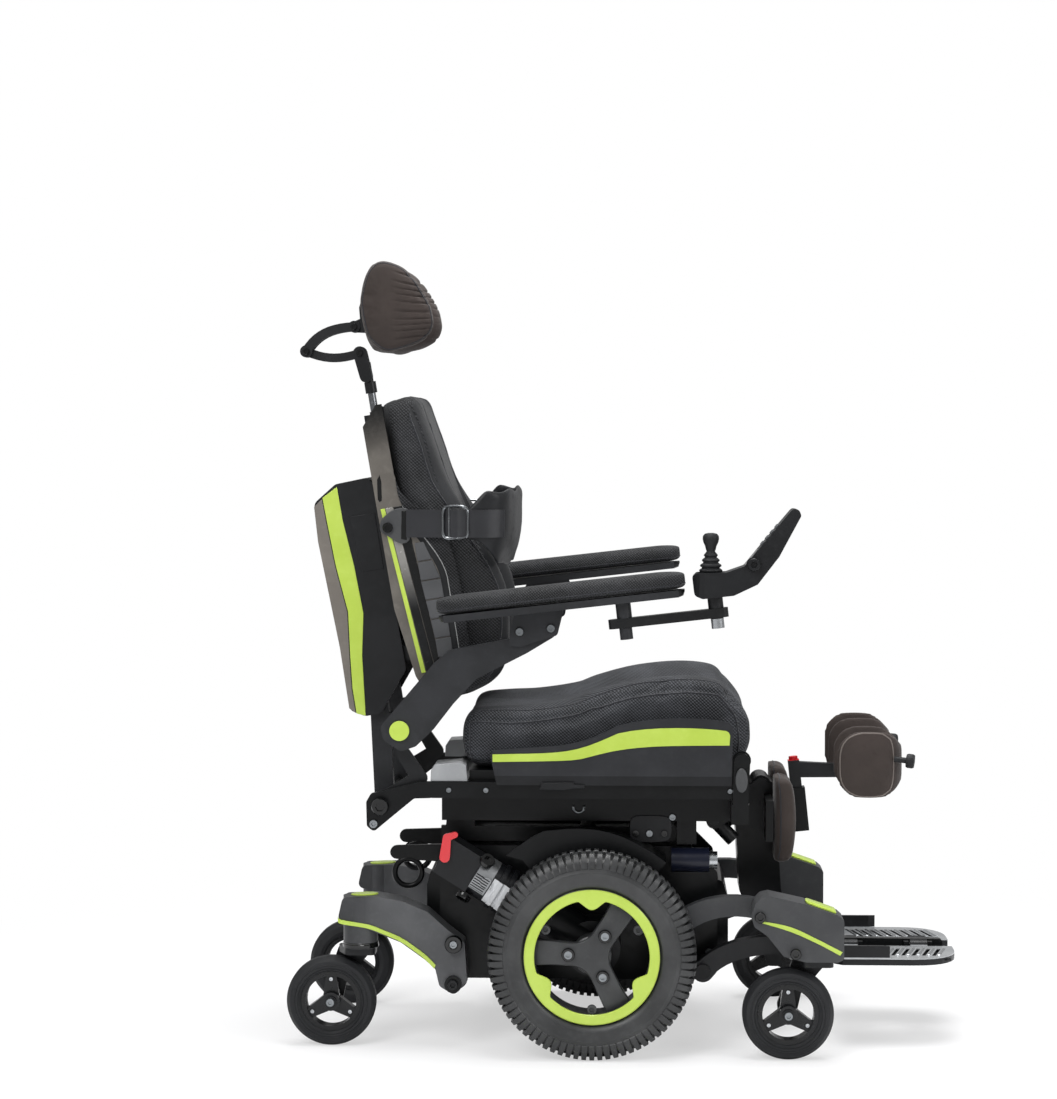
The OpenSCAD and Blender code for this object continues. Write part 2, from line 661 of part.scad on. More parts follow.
// Tilt frame: two beams on the tilt pins, the front beam with the stand pins and the leg hinge
module tilt_frame() {
    beam_out = tilt_beam_in + tilt_beam_w;
    beam_top = tilt_beam_z + tilt_beam_h;
    beam_mid = [(front_beam[0] + front_beam[1]) / 2, tilt_beam_z + tilt_beam_h / 2];
    leg_lug_in = 46;
    color("#242528") difference() {
        union() {
            pair() {
                box(tilt_pivot[0] - 26, front_beam[0] + 2, -beam_out, -tilt_beam_in, tilt_beam_z, beam_top);
                across(-upright_in - upright_t, -upright_in) polygon(link(beam_mid, stand_pivot, 13, 14));
                rod(stand_pivot, stand_pin_r, -upright_in - 1, -bracket_in + 1);
                rod(stand_pivot, stand_pin_r + 3, -upright_in - upright_t - 4, -upright_in - 1);
                across(-leg_lug_in - 10, -leg_lug_in) polygon(link(beam_mid + [4, 0], leg_hinge, 13, 14));
                for (s = [-1, 1]) translate([0, s * (trunnion_reach - lug_t / 2) - stand_actuator_y, 0])
                    difference() {
                    across(-lug_t / 2, lug_t / 2) polygon(link(stand_tube_pin, beam_mid, 14, 14));
                    rod(stand_tube_pin, trunnion_r + fit, -lug_t, lug_t);
                }
            }
            box(front_beam[0], front_beam[1], -upright_in - upright_t, upright_in + upright_t,
                tilt_beam_z + 4, beam_top - 2);
            box(-252, -226, -tilt_beam_in - 2, tilt_beam_in + 2, tilt_beam_z + 4, beam_top - 4);
            box(20, 46, -tilt_beam_in - 2, tilt_beam_in + 2, tilt_beam_z + 8, beam_top - 4);
            rod(tilt_rod_pin, cross_bar_r, -tilt_beam_in - 4, tilt_beam_in + 4);
            rod(leg_hinge, leg_pin_r, -leg_lug_in - 9, leg_lug_in + 9);
        }
        pair() rod(tilt_pivot, tilt_pin_r + fit, -tilt_beam_in - 24, 1 - tilt_beam_in);
    }
}

// Seat frame: rails, pan, front ears on the stand pins and rear brackets for the hip shaft
module seat_frame() {
    rail_z = rail_top - rail_h;
    rail_back = -330;
    rail_front = 190;
    tab_w = 26;
    color("#1f2022") difference() {
        union() {
            pair() {
                box(rail_back, rail_front, -rail_out, -rail_in, rail_z, rail_top);
                across(-rail_out, -bracket_in) union() {
                    polygon(link([rail_front - 16, rail_top - 14], stand_pivot, 14, 16));
                    polygon(rounded([hip + [-25, 7], hip + [-17, 21], [rail_back - 22, rail_top],
                        [rail_back + 4, rail_top],
                        [rail_back + 4, rail_z], [rail_back - 30, rail_z - 1], hip + [30, -10],
                        hip + [-12, -45],
                        hip + [-24, -35]], 7));
                }
                for (x = [-130, 20, 140]) box(x, x + tab_w, -rail_out, 5 - rail_out, rail_top - 2,
                    rail_top + 50);
                box(-266, 176, -rail_in - 6, 6 - rail_in, rail_top - 4, pan_z + pan_t);
            }
            box(-266, 176, -rail_in - 4, rail_in + 4, pan_z, pan_z + pan_t);
            box(-300, -276, -rail_in - 2, rail_in + 2, rail_z + 2, rail_top - 2);
            rod(stand_rod_pin, cross_bar_r, -rail_in - 4, rail_in + 4);
        }
        pair() {
            rod(stand_pivot, stand_pin_r + fit, -rail_out - 1, 1 - bracket_in);
            rod(hip, hip_r + fit, -rail_out - 1, 1 - bracket_in);
        }
    }
}

// Side panels of the seat, each with a raised band
module seat_side_panels() {
    band_t = 1.5;
    panel_out = panel_in + panel_t;
    front = stand_pivot[0] - 15.5;
    color("#17181a") pair() {
        across(-panel_out, -panel_in) polygon(concat(
            bezier([-222, 522], [-130, 530], [-90, 524], [-30, 554], 8),
            bezier([-8, 565], [50, 582], [front - 40, 580], [front - 8, 571], 8),
            [[front - 2, 567], [front, 561], [front - 2, rail_top - 4], [-217, rail_top - 4],
            [-228, 512]]));
        across(-panel_out - band_t, -panel_out) polygon(concat(
            bezier([-224, 515], [-130, 518], [-95, 514], [-40, 538], 8),
            bezier([-8, 552], [50, 566], [front - 50, 562], [front - 12, 557], 8),
            [[front - 7, 554], [front - 5, 549]],
            bezier([front - 6, 532], [80, 531], [20, 532], [-40, 516], 8),
            bezier([-70, 508], [-90, 504], [-110, 504], [-224, 502], 4)));
        for (x = [-117, 33, 153]) rod([x, rail_top + 30], 7, -panel_in - 1, -rail_out);
    }
}

// Seat cushion: stations are [place, underside, crest, half width lost, channel depth]
module seat_cushion() {
    ring = pillow(28, 0.42);
    base = pan_z + pan_t + cushion_gap;
    stations = [[-277, 540, 568, 26, 0], [-275, 512, 584, 10, 0], [-268, 494, 590, 4, 4],
        [-250, base, 593, 0, 8],
        [-155, base, 592, 0, 14], [-88, base, 606, 0, 16], [-48, base, 622, 0, 18], [23, base, 641, 0, 20],
        [101, base, 649, 0, 20], [161, base, 643, 0, 18], [186, base + 2, 625, 2, 14],
        [205, base + 10, 605, 6, 8],
        [217, base + 24, 588, 12, 4], [224, base + 44, 572, 20, 0]];
    color("#2d2f36") loft([for (s = stations) let (mid = (s[1] + s[2]) / 2, half = cushion_w / 2 - s[3])
        [for (q = ring) let (y = half * q[0]) [s[0], y,
            q[1] < 0 ? mid + (mid - s[1]) * q[1]
                     : mid + (s[2] - mid) * q[1] - s[4] * q[1] * exp(-pow(y / 80, 2))]]]);
}

// Back carrier: hip shaft with a plate and strut on each side
module back_carrier() {
    strut_low = [-352, 470];
    strut_top = [-385, 522];
    plate_out = bracket_in - 2;
    color("#2a2b2e") union() {
        rod(hip, hip_r, -rail_out - 7, rail_out + 7);
        pair() {
            rod(hip, hip_r + 3, -rail_out - 7, -rail_out - side_gap);
            across(-plate_out, 10 - plate_out) union() {
                polygon(link(hip, strut_low, 19, 14));
                polygon(link(strut_low, strut_top, 14, 11));
            }
        }
    }
}

// Back frame: posts on the hip shaft, shell with side wings, arm pivots and the headrest guide
module back_frame() {
    post_top = 500;
    slide_half = 26;
    arm_local = [54.6, 127.6];
    color("#2e3033") difference() {
        union() {
            on_back() {
                pair() {
                    across(-post_out, -post_in) union() {
                        polygon(arc([0, 0], 22, 0, 345, 23));
                        polygon(rounded([[-17, 0], [17, 0], [33, 140], [33, post_top], [0, post_top],
                            [0, 150]], 6));
                        polygon(rounded([[4, 96], [40, 104], [70, 120], [70, 142], [40, 150], [4, 146]],
                            8));
                        polygon([[10, 236], [10, 262], [shell_rear + 2, 262], [shell_rear + 2, 236]]);
                        polygon([[10, 462], [10, 490], [shell_rear + 2, 490], [shell_rear + 2, 462]]);
                    }
                    across(-wing_in - wing_t, -wing_in) polygon(concat(
                        [[shell_rear + 4, shell_low], [shell_rear - 4, shell_low + 20], [76, 330],
                        [73, 650], [101, 684], [111, 684]],
                        bezier([113, 560], [114, 480], [180, 520], [192, 400], 8),
                        bezier([196, 340], [194, 270], [190, 214], [140, 208], 6)));
                }
                facing(shell_rear, shell_rear + shell_t)
                    polygon(rounded([[-wing_in - 1, shell_low], [wing_in + 1, shell_low],
                    [wing_in + 1, shell_high - 70], [wing_in - 60, shell_high],
                    [60 - wing_in, shell_high], [-wing_in - 1, shell_high - 70]], 26));
                difference() {
                    box(head_slide_x - 18, shell_rear + 1, -slide_half, slide_half, 604, 672);
                    box(head_slide_x - 8 - side_gap, head_slide_x + 8 + side_gap, -14 - side_gap,
                        14 + side_gap, 600, 680);
                }
            }
            pair() {
                rod(arm_pivot, 15, side_gap - arm_plane, -post_out + 2);
                rod(arm_pivot, arm_pin_r, -arm_plane - arm_t - side_gap, -arm_plane + 2);
                rod(arm_pivot, 17, -arm_plane - arm_t - side_gap - 5, -arm_plane - arm_t - side_gap);
            }
        }
        pair() rod(hip, hip_r + fit, -post_out - 1, 1 - post_in);
    }
}

// Rear shroud: hollow moulding open to the front and below, with pads on the posts
module back_shroud() {
    half = shroud_w / 2;
    w = shroud_wall;
    color("#1b1c1e") on_back() union() {
        difference() {
            across(-half, half) polygon(rounded([[-36, 533], [6, 560], [70, 563], [76, 222], [20, 152],
                [-8, 152], [-33, 166], [-32, 277], [-40, 466]], 14));
            across(w - half, half - w) polygon(rounded([[-36 + w, 530], [7, 560 - w], [90, 563 - w],
                [90, 222], [30, 140], [-6, 140],
                [-33 + w, 168], [-32 + w, 277], [-40 + w, 466]], 10));
        }
        pair() for (p = [[-31, 300], [-37, 440]]) box(p[0], 0, 6 - post_out, -post_in - 6, p[1], p[1] + 24);
    }
}

// Back cushion: stations are [height, middle front, side bolster front, half width lost]
module back_cushion() {
    ring = pillow(28, 0.5);
    rear = shell_rear + shell_t + cushion_gap;
    thin = 26;
    stations = [[160, 150, 160, 14], [163, 178, 206, 4], [176, 200, 246, 0], [207, 210, 270, 0],
        [270, 216, 288, 0],
        [330, 217, 294, 0], [382, 214, 280, 0], [430, 210, 256, 0], [478, 203, 234, 0], [541, 193, 199, 0],
        [604, 183, 187, 2], [655, 171, 175, 10], [684, 158, 162, 26], [695, 140, 144, 50]];
    color("#2f3138") on_back() loft([for (s = stations) let (half = back_w / 2 - s[3])
        [for (q = ring) let (y = -half * q[0], front = mix(s[1], s[2], smooth((abs(y) - 60) / 100)))
            [q[1] < 0 ? rear + thin + thin * q[1] : rear + thin + (front - rear - thin) * q[1], y, s[0]]]]);
}

// Chest belt: padded band bowed in front of the back, with a strap and an anchor plate on each side
module chest_belt() {
    ring = pillow(10, 0.7);
    band_mid = 906;
    band_half = 56;
    band_t = 6;
    anchor = [-407, 905];
    end = -268;
    strap_in = wing_in + wing_t;
    path = concat(bezier([end, -strap_in - 9], [-226, -strap_in - 8], [-198, -190], [-191, -110], 6),
                  bezier([-187, -60], [-186, -20], [-186, 20], [-187, 60], 3),
                  bezier([-191, 110], [-198, 190], [-226, strap_in + 8], [end, strap_in + 9], 6));
    color("#222326") {
        loft([for (i = [0:len(path) - 1])
            let (n = normal(path, i), tall = band_half - (i == 0 || i == len(path) - 1 ? 34 : 0))
            [for (q = ring) [path[i][0] + n[0] * band_t * q[0], path[i][1] + n[1] * band_t * q[0],
            band_mid + tall * q[1]]]]);
        pair() {
            across(-strap_in - 10.5, -strap_in - 8)
                polygon(rounded([anchor + [18, -20], [end + 0.5, band_mid - 20],
                [end + 0.5, band_mid + 20], anchor + [18, 22]], 3));
            across(-strap_in - 8, -strap_in)
                polygon(rounded([anchor + [-14, -8], anchor + [22, -28], anchor + [40, -24],
                anchor + [40, 28], anchor + [16, 32], anchor + [-13, 12]], 7));
        }
    }
}

// Headrest: post in the guide, two links and the winged pad with its bracket
module headrest_post() {
    low = 584;
    bar_top = 677;
    high = 766;
    neck = [head_low + [4.5, -17], head_low + [11, -42]];
    color("#222326") difference() {
        union() {
            on_back() {
                box(head_slide_x - 8, head_slide_x + 8, -14, 14, low, bar_top);
                translate([head_slide_x, 0, bar_top - 2]) cylinder(r = 7, h = high - bar_top + 2);
                translate([head_slide_x, 0, bar_top + 34]) cylinder(r = 10.5, h = 20);
            }
            across(-13, 13) polygon(bar_outline(neck, 22, 22));
            pair() across(-13.5, -8 - side_gap) polygon(link(neck[1], head_low, 11, 12));
        }
        rod(head_low, head_pin_r + fit, -15, 15);
    }
}
module headrest_lower_link() {
    color("#303236") union() {
        across(-8, 8) polygon(bar_outline(bezier(head_low, head_low + [-30, -10], head_elbow + [36, -17],
            head_elbow), 15, 16));
        rod(head_low, 11, -8, 8);
        rod(head_elbow, 11, -8, 8);
        rod(head_low, head_pin_r, -13.5, 13.5);
        rod(head_elbow, head_pin_r, -15, 15);
    }
}
module headrest_upper_link() {
    color("#26282b") difference() {
        pair() {
            across(-14, -8 - side_gap) polygon(bar_outline(
                bezier(head_elbow, head_elbow + [18, 30], head_high + [-42, -2], head_high), 17, 16));
            rod(head_elbow, 11, -14, -8 - side_gap);
            rod(head_high, 10.5, -14, -8 - side_gap);
        }
        rod(head_elbow, head_pin_r + fit, -16, 16);
        rod(head_high, head_pin_r + fit, -16, 16);
    }
}
// Leaning wing outline from its top over the front, and sections as [side, share of depth, share of size]
module headrest_pad() {
    rear = -464;
    middle = [-395, 1288];
    outline = rounded([[-395, 1364], [-369, 1341], [-341, 1298], [-332, 1278], [-330, 1254], [-344, 1231],
        [-382, 1213],
        [-417, 1206], [-446, 1226], [-457, 1250], [rear, 1287], [-463, 1312], [-452, 1353], [-428, 1373]],
        30, 2);
    wing = [[128, 1, 0.72], [126, 1, 0.87], [120, 1, 0.97], [110, 1, 1], [92, 0.93, 1], [72, 0.72, 1],
        [48, 0.53, 1]];
    sections = concat([for (s = wing) [-s[0], s[1], s[2]]], [[0, 0.47, 1]],
        [for (i = [len(wing) - 1:-1:0]) wing[i]]);
    color("#33302f") union() {
        loft([for (s = sections) [for (p = outline) let (q = middle + (p - middle) * s[2])
            [mix(rear, q[0], s[1]), s[0], q[1]]]]);
        across(-8, 8) polygon(link(head_high, [-456, 1262], 10, 12));
        rod(head_high, head_pin_r, -14, 14);
    }
}

// Arm with its folding hinge and the plate under the pad
module armrest(raise) {
    plate_y = [arm_y - arm_pad_w / 2 + 4, arm_y + arm_pad_w / 2 - 4];
    color("#232427") difference() {
        union() {
            across(-arm_plane - arm_t, -arm_plane)
                polygon(rounded([[-416, 564], [-324, 673], [-298, 695], [-263, 702], [-185, 717],
                [-129, 743],
                [-112, 741], [-116, 720], [-164, 691], [-250, 647], [-290, 604], [-324, 560], [-355, 530],
                [-381, 521], [-411, 541]], 12));
            across(-arm_plane - arm_t - 7, -arm_plane - arm_t + 1)
                polygon(rounded([[-196, 704], [-176, 702], [-112, 722], [-100, 771 + raise],
                [-186, 760 + raise]], 8));
            translate([pad_back[0], 0, pad_back[1] + raise]) rotate([0, -arm_slope, 0])
                box(14, pad_len - 16, -plate_y[1], -plate_y[0], -pad_plate_t, 0);
        }
        rod(arm_pivot, arm_pin_r + fit, -arm_plane - arm_t - 1, 1 - arm_plane);
    }
}
module armrest_right() {
    armrest(0);
    color("#c4c7cb") at_swing() union() {
        translate([0, 0, -20]) cylinder(r = swing_pin_r, h = 56);
        translate([0, 0, -28]) cylinder(r = swing_pin_r + 3, h = 28 - 8 - side_gap);
        translate([0, 0, 8 + side_gap]) cylinder(r = swing_pin_r + 5, h = 30);
    }
}
module armrest_left() on_left() armrest(left_arm_raise);
module at_swing() translate([swing_pin[0], -arm_y, swing_pin[1]]) rotate([0, -arm_slope, 0]) children();

// Arm pad with round ends, on its plate
module arm_pad(raise) {
    ring = pillow(20, 0.5);
    half = arm_pad_w / 2;
    ends = [for (i = [0:5]) half * (1 - cos(15 * i + 8))];
    places = concat(ends, [for (i = [5:-1:0]) pad_len - ends[i]]);
    color("#1e1e20") translate([pad_back[0], -arm_y, pad_back[1] + raise + side_gap])
        rotate([0, -arm_slope, 0])
        loft([for (i = [0:len(places) - 1])
        let (u = min(places[i], pad_len - places[i]),
        w = sqrt(max(1, half * half - pow(max(0, half - u), 2))))
            [for (q = ring) [places[i], w * q[0], pad_h / 2 + (pad_h / 2 - 5 * (1 - w / half)) * q[1]]]]);
}
module arm_pad_right() arm_pad(0);
module arm_pad_left() on_left() arm_pad(left_arm_raise);

// Swing-away bar under the right pad
module control_swing_arm() {
    color("#1f2022") at_swing() difference() {
        union() {
            translate([0, 0, -8]) linear_extrude(height = 16)
                polygon(rounded([[-28, -13], [swing_reach + 20, -13], [swing_reach + 20, 13], [-28, 13]],
                12));
            translate([swing_reach, 0, -26]) cylinder(r = swing_pin_r + 3, h = 20);
            translate([swing_reach, 0, 0]) cylinder(r = swing_pin_r, h = 28);
        }
        translate([0, 0, -10]) cylinder(r = swing_pin_r + fit, h = 20);
    }
}

// Control box with the joystick well and the sloped key panel
module control_box() {
    well_r = 25;
    corner = [pad_front, swing_pin[1]];
    side = [[5, 79], [9, 47], [22, 42], [75, 48], [115, 67], [151, 114], [188, 183], [184, 193], [174, 195],
        [162, 181], [115, 125], [93, 98], [62, 87], [12, 86]];
    color("#1c1d1f") difference() {
        union() {
            intersection() {
                across(-arm_y - box_half, box_half - arm_y)
                    polygon(rounded([for (p = side) corner + p], 7));
                translate([corner[0], -arm_y, corner[1] - 45]) linear_extrude(height = 300) polygon(concat(
                    arc([5 + box_half, 0], box_half, 90, 270, 10), [[198, -box_half], [198, box_half]]));
            }
            at_swing() translate([swing_reach, 0, 8 + side_gap]) cylinder(r = swing_pin_r + 5, h = 36);
        }
        at_swing() translate([swing_reach, 0, 0]) cylinder(r = swing_pin_r + fit, h = 30);
        translate([stick_pivot[0], -arm_y, stick_pivot[1] - 10.5]) cylinder(r = well_r, h = 42);
        translate([stick_pivot[0] - 28, -arm_y, stick_pivot[1]]) rotate([0, 90, 0])
            cylinder(r = 3 + fit, h = 56);
        rod(paddle_pivot, 4 + fit, -arm_y - box_half - 1, -arm_y);
    }
}
module joystick_gimbal() {
    color("#8d9196") translate([stick_pivot[0], -arm_y, stick_pivot[1]]) difference() {
        union() {
            translate([0, 0, -4]) cylinder(r = 20, h = 8);
            translate([-27.5, 0, 0]) rotate([0, 90, 0]) cylinder(r = 3, h = 55);
        }
        translate([0, 0, -5]) cylinder(r = 14, h = 10);
        translate([0, -21, 0]) rotate([-90, 0, 0]) cylinder(r = 2.5 + fit, h = 42);
    }
}
module joystick() {
    color("#141416") translate([stick_pivot[0], -arm_y, stick_pivot[1]]) union() {
        translate([0, -19.5, 0]) rotate([-90, 0, 0]) cylinder(r = 2.5, h = 39);
        translate([0, 0, -5]) cylinder(r = 5, h = 70);
        rotate_extrude() polygon([[0, 12], [19, 12], [20, 16], [17, 20], [18.5, 24], [14, 29], [15.5, 33],
            [11, 38], [12, 42], [8, 48], [0, 48]]);
        rotate_extrude() polygon(rounded([[0, 46], [9, 46], [13, 56], [15, 68], [11, 76], [0, 78]], 4));
    }
}
module control_paddle() {
    y = arm_y + box_half + side_gap;
    color("#2c2d30") union() {
        rod(paddle_pivot, 4, -y - 1, -arm_y - 4);
        rod(paddle_pivot, 12.5, -y - 4, -y);
    }
}

// Leg post: hinge eye, black casing, calf plate, knee socket and the footplate spine
module legrest_post() {
    eye_half = 45;
    socket = knee_post_w + 10;
    color("#3b3d40") difference() {
        union() {
            across(-eye_half, eye_half) polygon(arc(leg_hinge, 18, 0, 345, 23));
            across(-eye_half, eye_half) polygon(rounded([leg_hinge + [-16, 6], leg_hinge + [24, 8],
                [281, 255], [300, 168], [300, 142],
                [262, 142], [207, 251], [200, 372], [222, 388]], 10));
            box(250, 263, -138, 138, 352, 424);
            box(268, 300, -14, 14, 366, 396);
            at_knee() translate([-socket / 2, -socket / 2, 0]) cube([socket, socket, 78]);
            across(-8.5, 8.5) polygon(rounded([[290, 138], [foot_front - 14, 138], [foot_front - 14, 160],
                [310, 162], [290, 170]], 6));
            pair() {
                for (x = [388, 512]) translate([x, -foot_pivot_y, foot_pivot_z]) rotate([0, 90, 0])
                    cylinder(r = foot_pin_r, h = 36);
                for (x = [382, 424, 506, 548])
                    box(x - 4, x + 4, -foot_pivot_y - 7, -6, foot_pivot_z - 8, foot_pivot_z + 8);
            }
        }
        rod(leg_hinge, leg_pin_r + fit, -eye_half - 1, eye_half + 1);
        at_knee() translate([-knee_post_w / 2 - side_gap, -knee_post_w / 2 - side_gap, 8])
            cube([knee_post_w + 2 * side_gap, knee_post_w + 2 * side_gap, 90]);
    }
}
module at_knee() translate([knee_foot[0], 0, knee_foot[1]]) rotate([0, -knee_lean, 0]) children();

// Calf pads on the plate of the leg post
module calf_pads() {
    ring = pillow(20, 0.5);
    stations = [[314, 0.7, 24], [318, 0.88, 32], [334, 1, 38], [390, 1, 42], [446, 1, 38],
        [462, 0.88, 32], [466, 0.7, 24]];
    color("#3a3230") pair() loft([for (s = stations) [for (q = ring) let (v = -51 * s[1] * q[0])
        [263 + side_gap + s[2] / 2 + (s[2] / 2) * q[1] - (q[1] > 0 ? 8 * exp(-pow(v / 30, 2)) : 0),
        -98 + v, s[0]]]]);
}

// Footplate hinged beside the spine, with slots, a rim at the front and a heel wall
module footplate() {
    inner = foot_pivot_y + foot_pin_r + 8;
    low = foot_pivot_z - 10;
    wall_h = 34;
    slot_w = 7;
    slot_mid = (inner + foot_half) / 2 - 2;
    slot_half = (foot_half - inner) / 2 - 30;
    color("#b9bcc0") difference() {
        union() {
            translate([0, 0, low]) linear_extrude(height = foot_t)
                polygon(concat([[foot_back, -inner], [foot_back, -foot_half + 14],
                [foot_back + 14, -foot_half]],
                bezier([foot_front - 80, -foot_half], [foot_front - 20, -foot_half],
                [foot_front, -foot_half + 50], [foot_front, -foot_half + 90], 8),
                [[foot_front, -inner]]));
            translate([0, 0, low]) linear_extrude(height = wall_h)
                polygon(concat([[foot_back, -foot_half + 14], [foot_back + 14, -foot_half],
                [foot_back + 96, -foot_half], [foot_back + 84, -foot_half + 7],
                [foot_back + 20, -foot_half + 7], [foot_back + 7, -foot_half + 20]]));
            for (x = [389, 513]) difference() {
                union() {
                    translate([x, -foot_pivot_y, foot_pivot_z]) rotate([0, 90, 0])
                        cylinder(r = foot_pin_r + 5, h = 30);
                    box(x, x + 30, -inner - 2, -foot_pivot_y, low, low + foot_t);
                }
                translate([x - 1, -foot_pivot_y, foot_pivot_z]) rotate([0, 90, 0])
                    cylinder(r = foot_pin_r + fit, h = 32);
            }
        }
        for (i = [0:7]) translate([foot_back + 46 + 18 * i, -slot_mid, low - 1])
            linear_extrude(height = foot_t + 2)
            polygon([[0, -slot_half], [slot_w, -slot_half], [slot_w + 16, slot_half], [16, slot_half]]);
    }
}

// Knee support: square post with its release button, arm and cross bar
module knee_post() {
    post_low = 25;
    post_len = 128;
    color("#2a2b2e") union() {
        at_knee() {
            translate([-knee_post_w / 2, -knee_post_w / 2, post_low])
                cube([knee_post_w, knee_post_w, post_len - post_low]);
            translate([0, 0, post_len - 1]) cylinder(r = 8, h = 7);
        }
        across(-9, 9) polygon(link([312, 464], knee_bar, 14, 11));
        rod(knee_bar, 9, -66, 66);
    }
}

// Knee cups, open to the rear
module knee_pads() {
    inner = 66;
    outer = 180;
    wall = 13;
    mid = [428, 492];
    color("#332f2e") pair() difference() {
        across(-outer, -inner) polygon([for (a = [0:15:345])
            mid + [60 * sign(cos(a)) * pow(abs(cos(a)), 0.75),
            62 * sign(sin(a)) * pow(abs(sin(a)), 0.75)]]);
        translate([0, 0, 400]) linear_extrude(height = 200)
            polygon(concat([[mid[0] - 70, wall - outer], [mid[0] + 6, wall - outer]],
            bezier([mid[0] + 16, wall - outer], [mid[0] + 52, wall - outer + 16],
            [mid[0] + 52, -inner - wall - 16], [mid[0] + 16, -inner - wall], 8),
            [[mid[0] - 70, -inner - wall]]));
    }
}

chassis_frame();
base_shroud();
batteries();
motors();
drive_tyre();  // drive_tyre_right
on_left() drive_tyre();  // drive_tyre_left
drive_rim();  // drive_rim_right
on_left() drive_rim();  // drive_rim_left
freewheel_lever();  // freewheel_lever_right
on_left() freewheel_lever();  // freewheel_lever_left
rear_arm();  // rear_arm_right
on_left() rear_arm();  // rear_arm_left
rear_fork();  // rear_fork_right
on_left() rear_fork();  // rear_fork_left
rear_caster();  // rear_caster_right
on_left() rear_caster();  // rear_caster_left
front_upper_link();  // front_upper_link_right
on_left() front_upper_link();  // front_upper_link_left
front_lower_link();  // front_lower_link_right
on_left() front_lower_link();  // front_lower_link_left
front_housing();  // front_housing_right
on_left() front_housing();  // front_housing_left
front_fork();  // front_fork_right
on_left() front_fork();  // front_fork_left
front_caster();  // front_caster_right
on_left() front_caster();  // front_caster_left
lift_stage();
lift_carriage();
tilt_frame();
tilt_actuator_tubes();
tilt_actuator_rods();
seat_frame();
seat_side_panels();
seat_cushion();
stand_actuator_tubes();
stand_actuator_rods();
back_carrier();
back_frame();
back_shroud();
back_cushion();
chest_belt();
headrest_post();
headrest_lower_link();
headrest_upper_link();
headrest_pad();
armrest_right();
armrest_left();
arm_pad_right();
arm_pad_left();
control_swing_arm();
control_box();
joystick_gimbal();
joystick();
control_paddle();
legrest_post();
calf_pads();
footplate();  // footplate_right
on_left() footplate();  // footplate_left
knee_post();
knee_pads();
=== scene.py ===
"""Looks of a standing power wheelchair: finishes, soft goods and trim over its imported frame."""
from __future__ import annotations

import logging
import math
from dataclasses import dataclass, field
from enum import Enum
from typing import Callable, Optional, Sequence, Union

import bmesh
import bpy
from mathutils import Matrix, Vector
from mathutils.bvhtree import BVHTree


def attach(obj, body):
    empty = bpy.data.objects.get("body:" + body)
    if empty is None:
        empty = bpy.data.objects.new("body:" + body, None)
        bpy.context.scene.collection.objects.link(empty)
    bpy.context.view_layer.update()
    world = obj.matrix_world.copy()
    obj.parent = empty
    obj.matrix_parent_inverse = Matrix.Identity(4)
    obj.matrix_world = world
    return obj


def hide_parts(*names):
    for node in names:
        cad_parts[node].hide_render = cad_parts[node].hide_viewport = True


LOG = logging.getLogger("standing_chair")
MM = 0.001
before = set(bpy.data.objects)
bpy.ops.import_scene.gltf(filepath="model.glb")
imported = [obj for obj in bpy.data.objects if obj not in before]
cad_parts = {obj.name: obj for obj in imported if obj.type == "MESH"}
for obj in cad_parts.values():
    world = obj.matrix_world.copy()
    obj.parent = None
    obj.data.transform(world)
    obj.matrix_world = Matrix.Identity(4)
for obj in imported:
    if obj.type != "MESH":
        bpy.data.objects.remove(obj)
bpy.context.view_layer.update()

Point2 = tuple[float, float]
Point3 = tuple[float, float, float]

# Hip shaft and lean of the back, and axle and heading of the drive motors, in the side view
HIP: Point2 = (-418.0, 424.0)
LEAN = math.radians(9.2)
AXLE: Point2 = (-52.0, 178.0)
MOTOR_HEADING = math.radians(148.2)


def linear(code: str) -> tuple[float, float, float, float]:
    """Turn a hex colour into linear light.

    Args:
        code: six hex digits, as a colour is written on screen.

    Returns:
        Red, green, blue and alpha for a shader socket.
    """
    parts = [int(code[i:i + 2], 16) / 255 for i in (0, 2, 4)]
    return tuple([p / 12.92 if p <= 0.04045 else ((p + 0.055) / 1.055) ** 2.4 for p in parts] + [1.0])


class Signal:
    """A number socket of a shader that takes part in Python expressions."""

    def __init__(self, recipe: Recipe, socket: bpy.types.NodeSocket) -> None:
        """Keep the socket and the recipe that new nodes go into."""
        self.recipe = recipe
        self.socket = socket

    def math(self, operation: str, *others: Number) -> Signal:
        """Add a Math node with this signal first."""
        return self.recipe.math(operation, self, *others)

    def __add__(self, other: Number) -> Signal:
        """Sum."""
        return self.math("ADD", other)

    __radd__ = __add__

    def __sub__(self, other: Number) -> Signal:
        """Difference."""
        return self.math("SUBTRACT", other)

    def __rsub__(self, other: float) -> Signal:
        """Difference with a plain number first."""
        return self.recipe.math("SUBTRACT", other, self)

    def __mul__(self, other: Number) -> Signal:
        """Product."""
        return self.math("MULTIPLY", other)

    __rmul__ = __mul__

    def __gt__(self, other: Number) -> Signal:
        """One where this signal is larger, else zero."""
        return self.math("GREATER_THAN", other)

    def __lt__(self, other: Number) -> Signal:
        """One where this signal is smaller, else zero."""
        return self.math("LESS_THAN", other)

    def __abs__(self) -> Signal:
        """Size without sign."""
        return self.math("ABSOLUTE")


Number = Union[Signal, float]
Colour = Union[Signal, Sequence[float]]


@dataclass
class Coords:
    """Place on a piece in millimetres, and its outward direction."""

    x: Signal
    y: Signal
    z: Signal
    across: Signal
    along: Signal
    vector: Signal


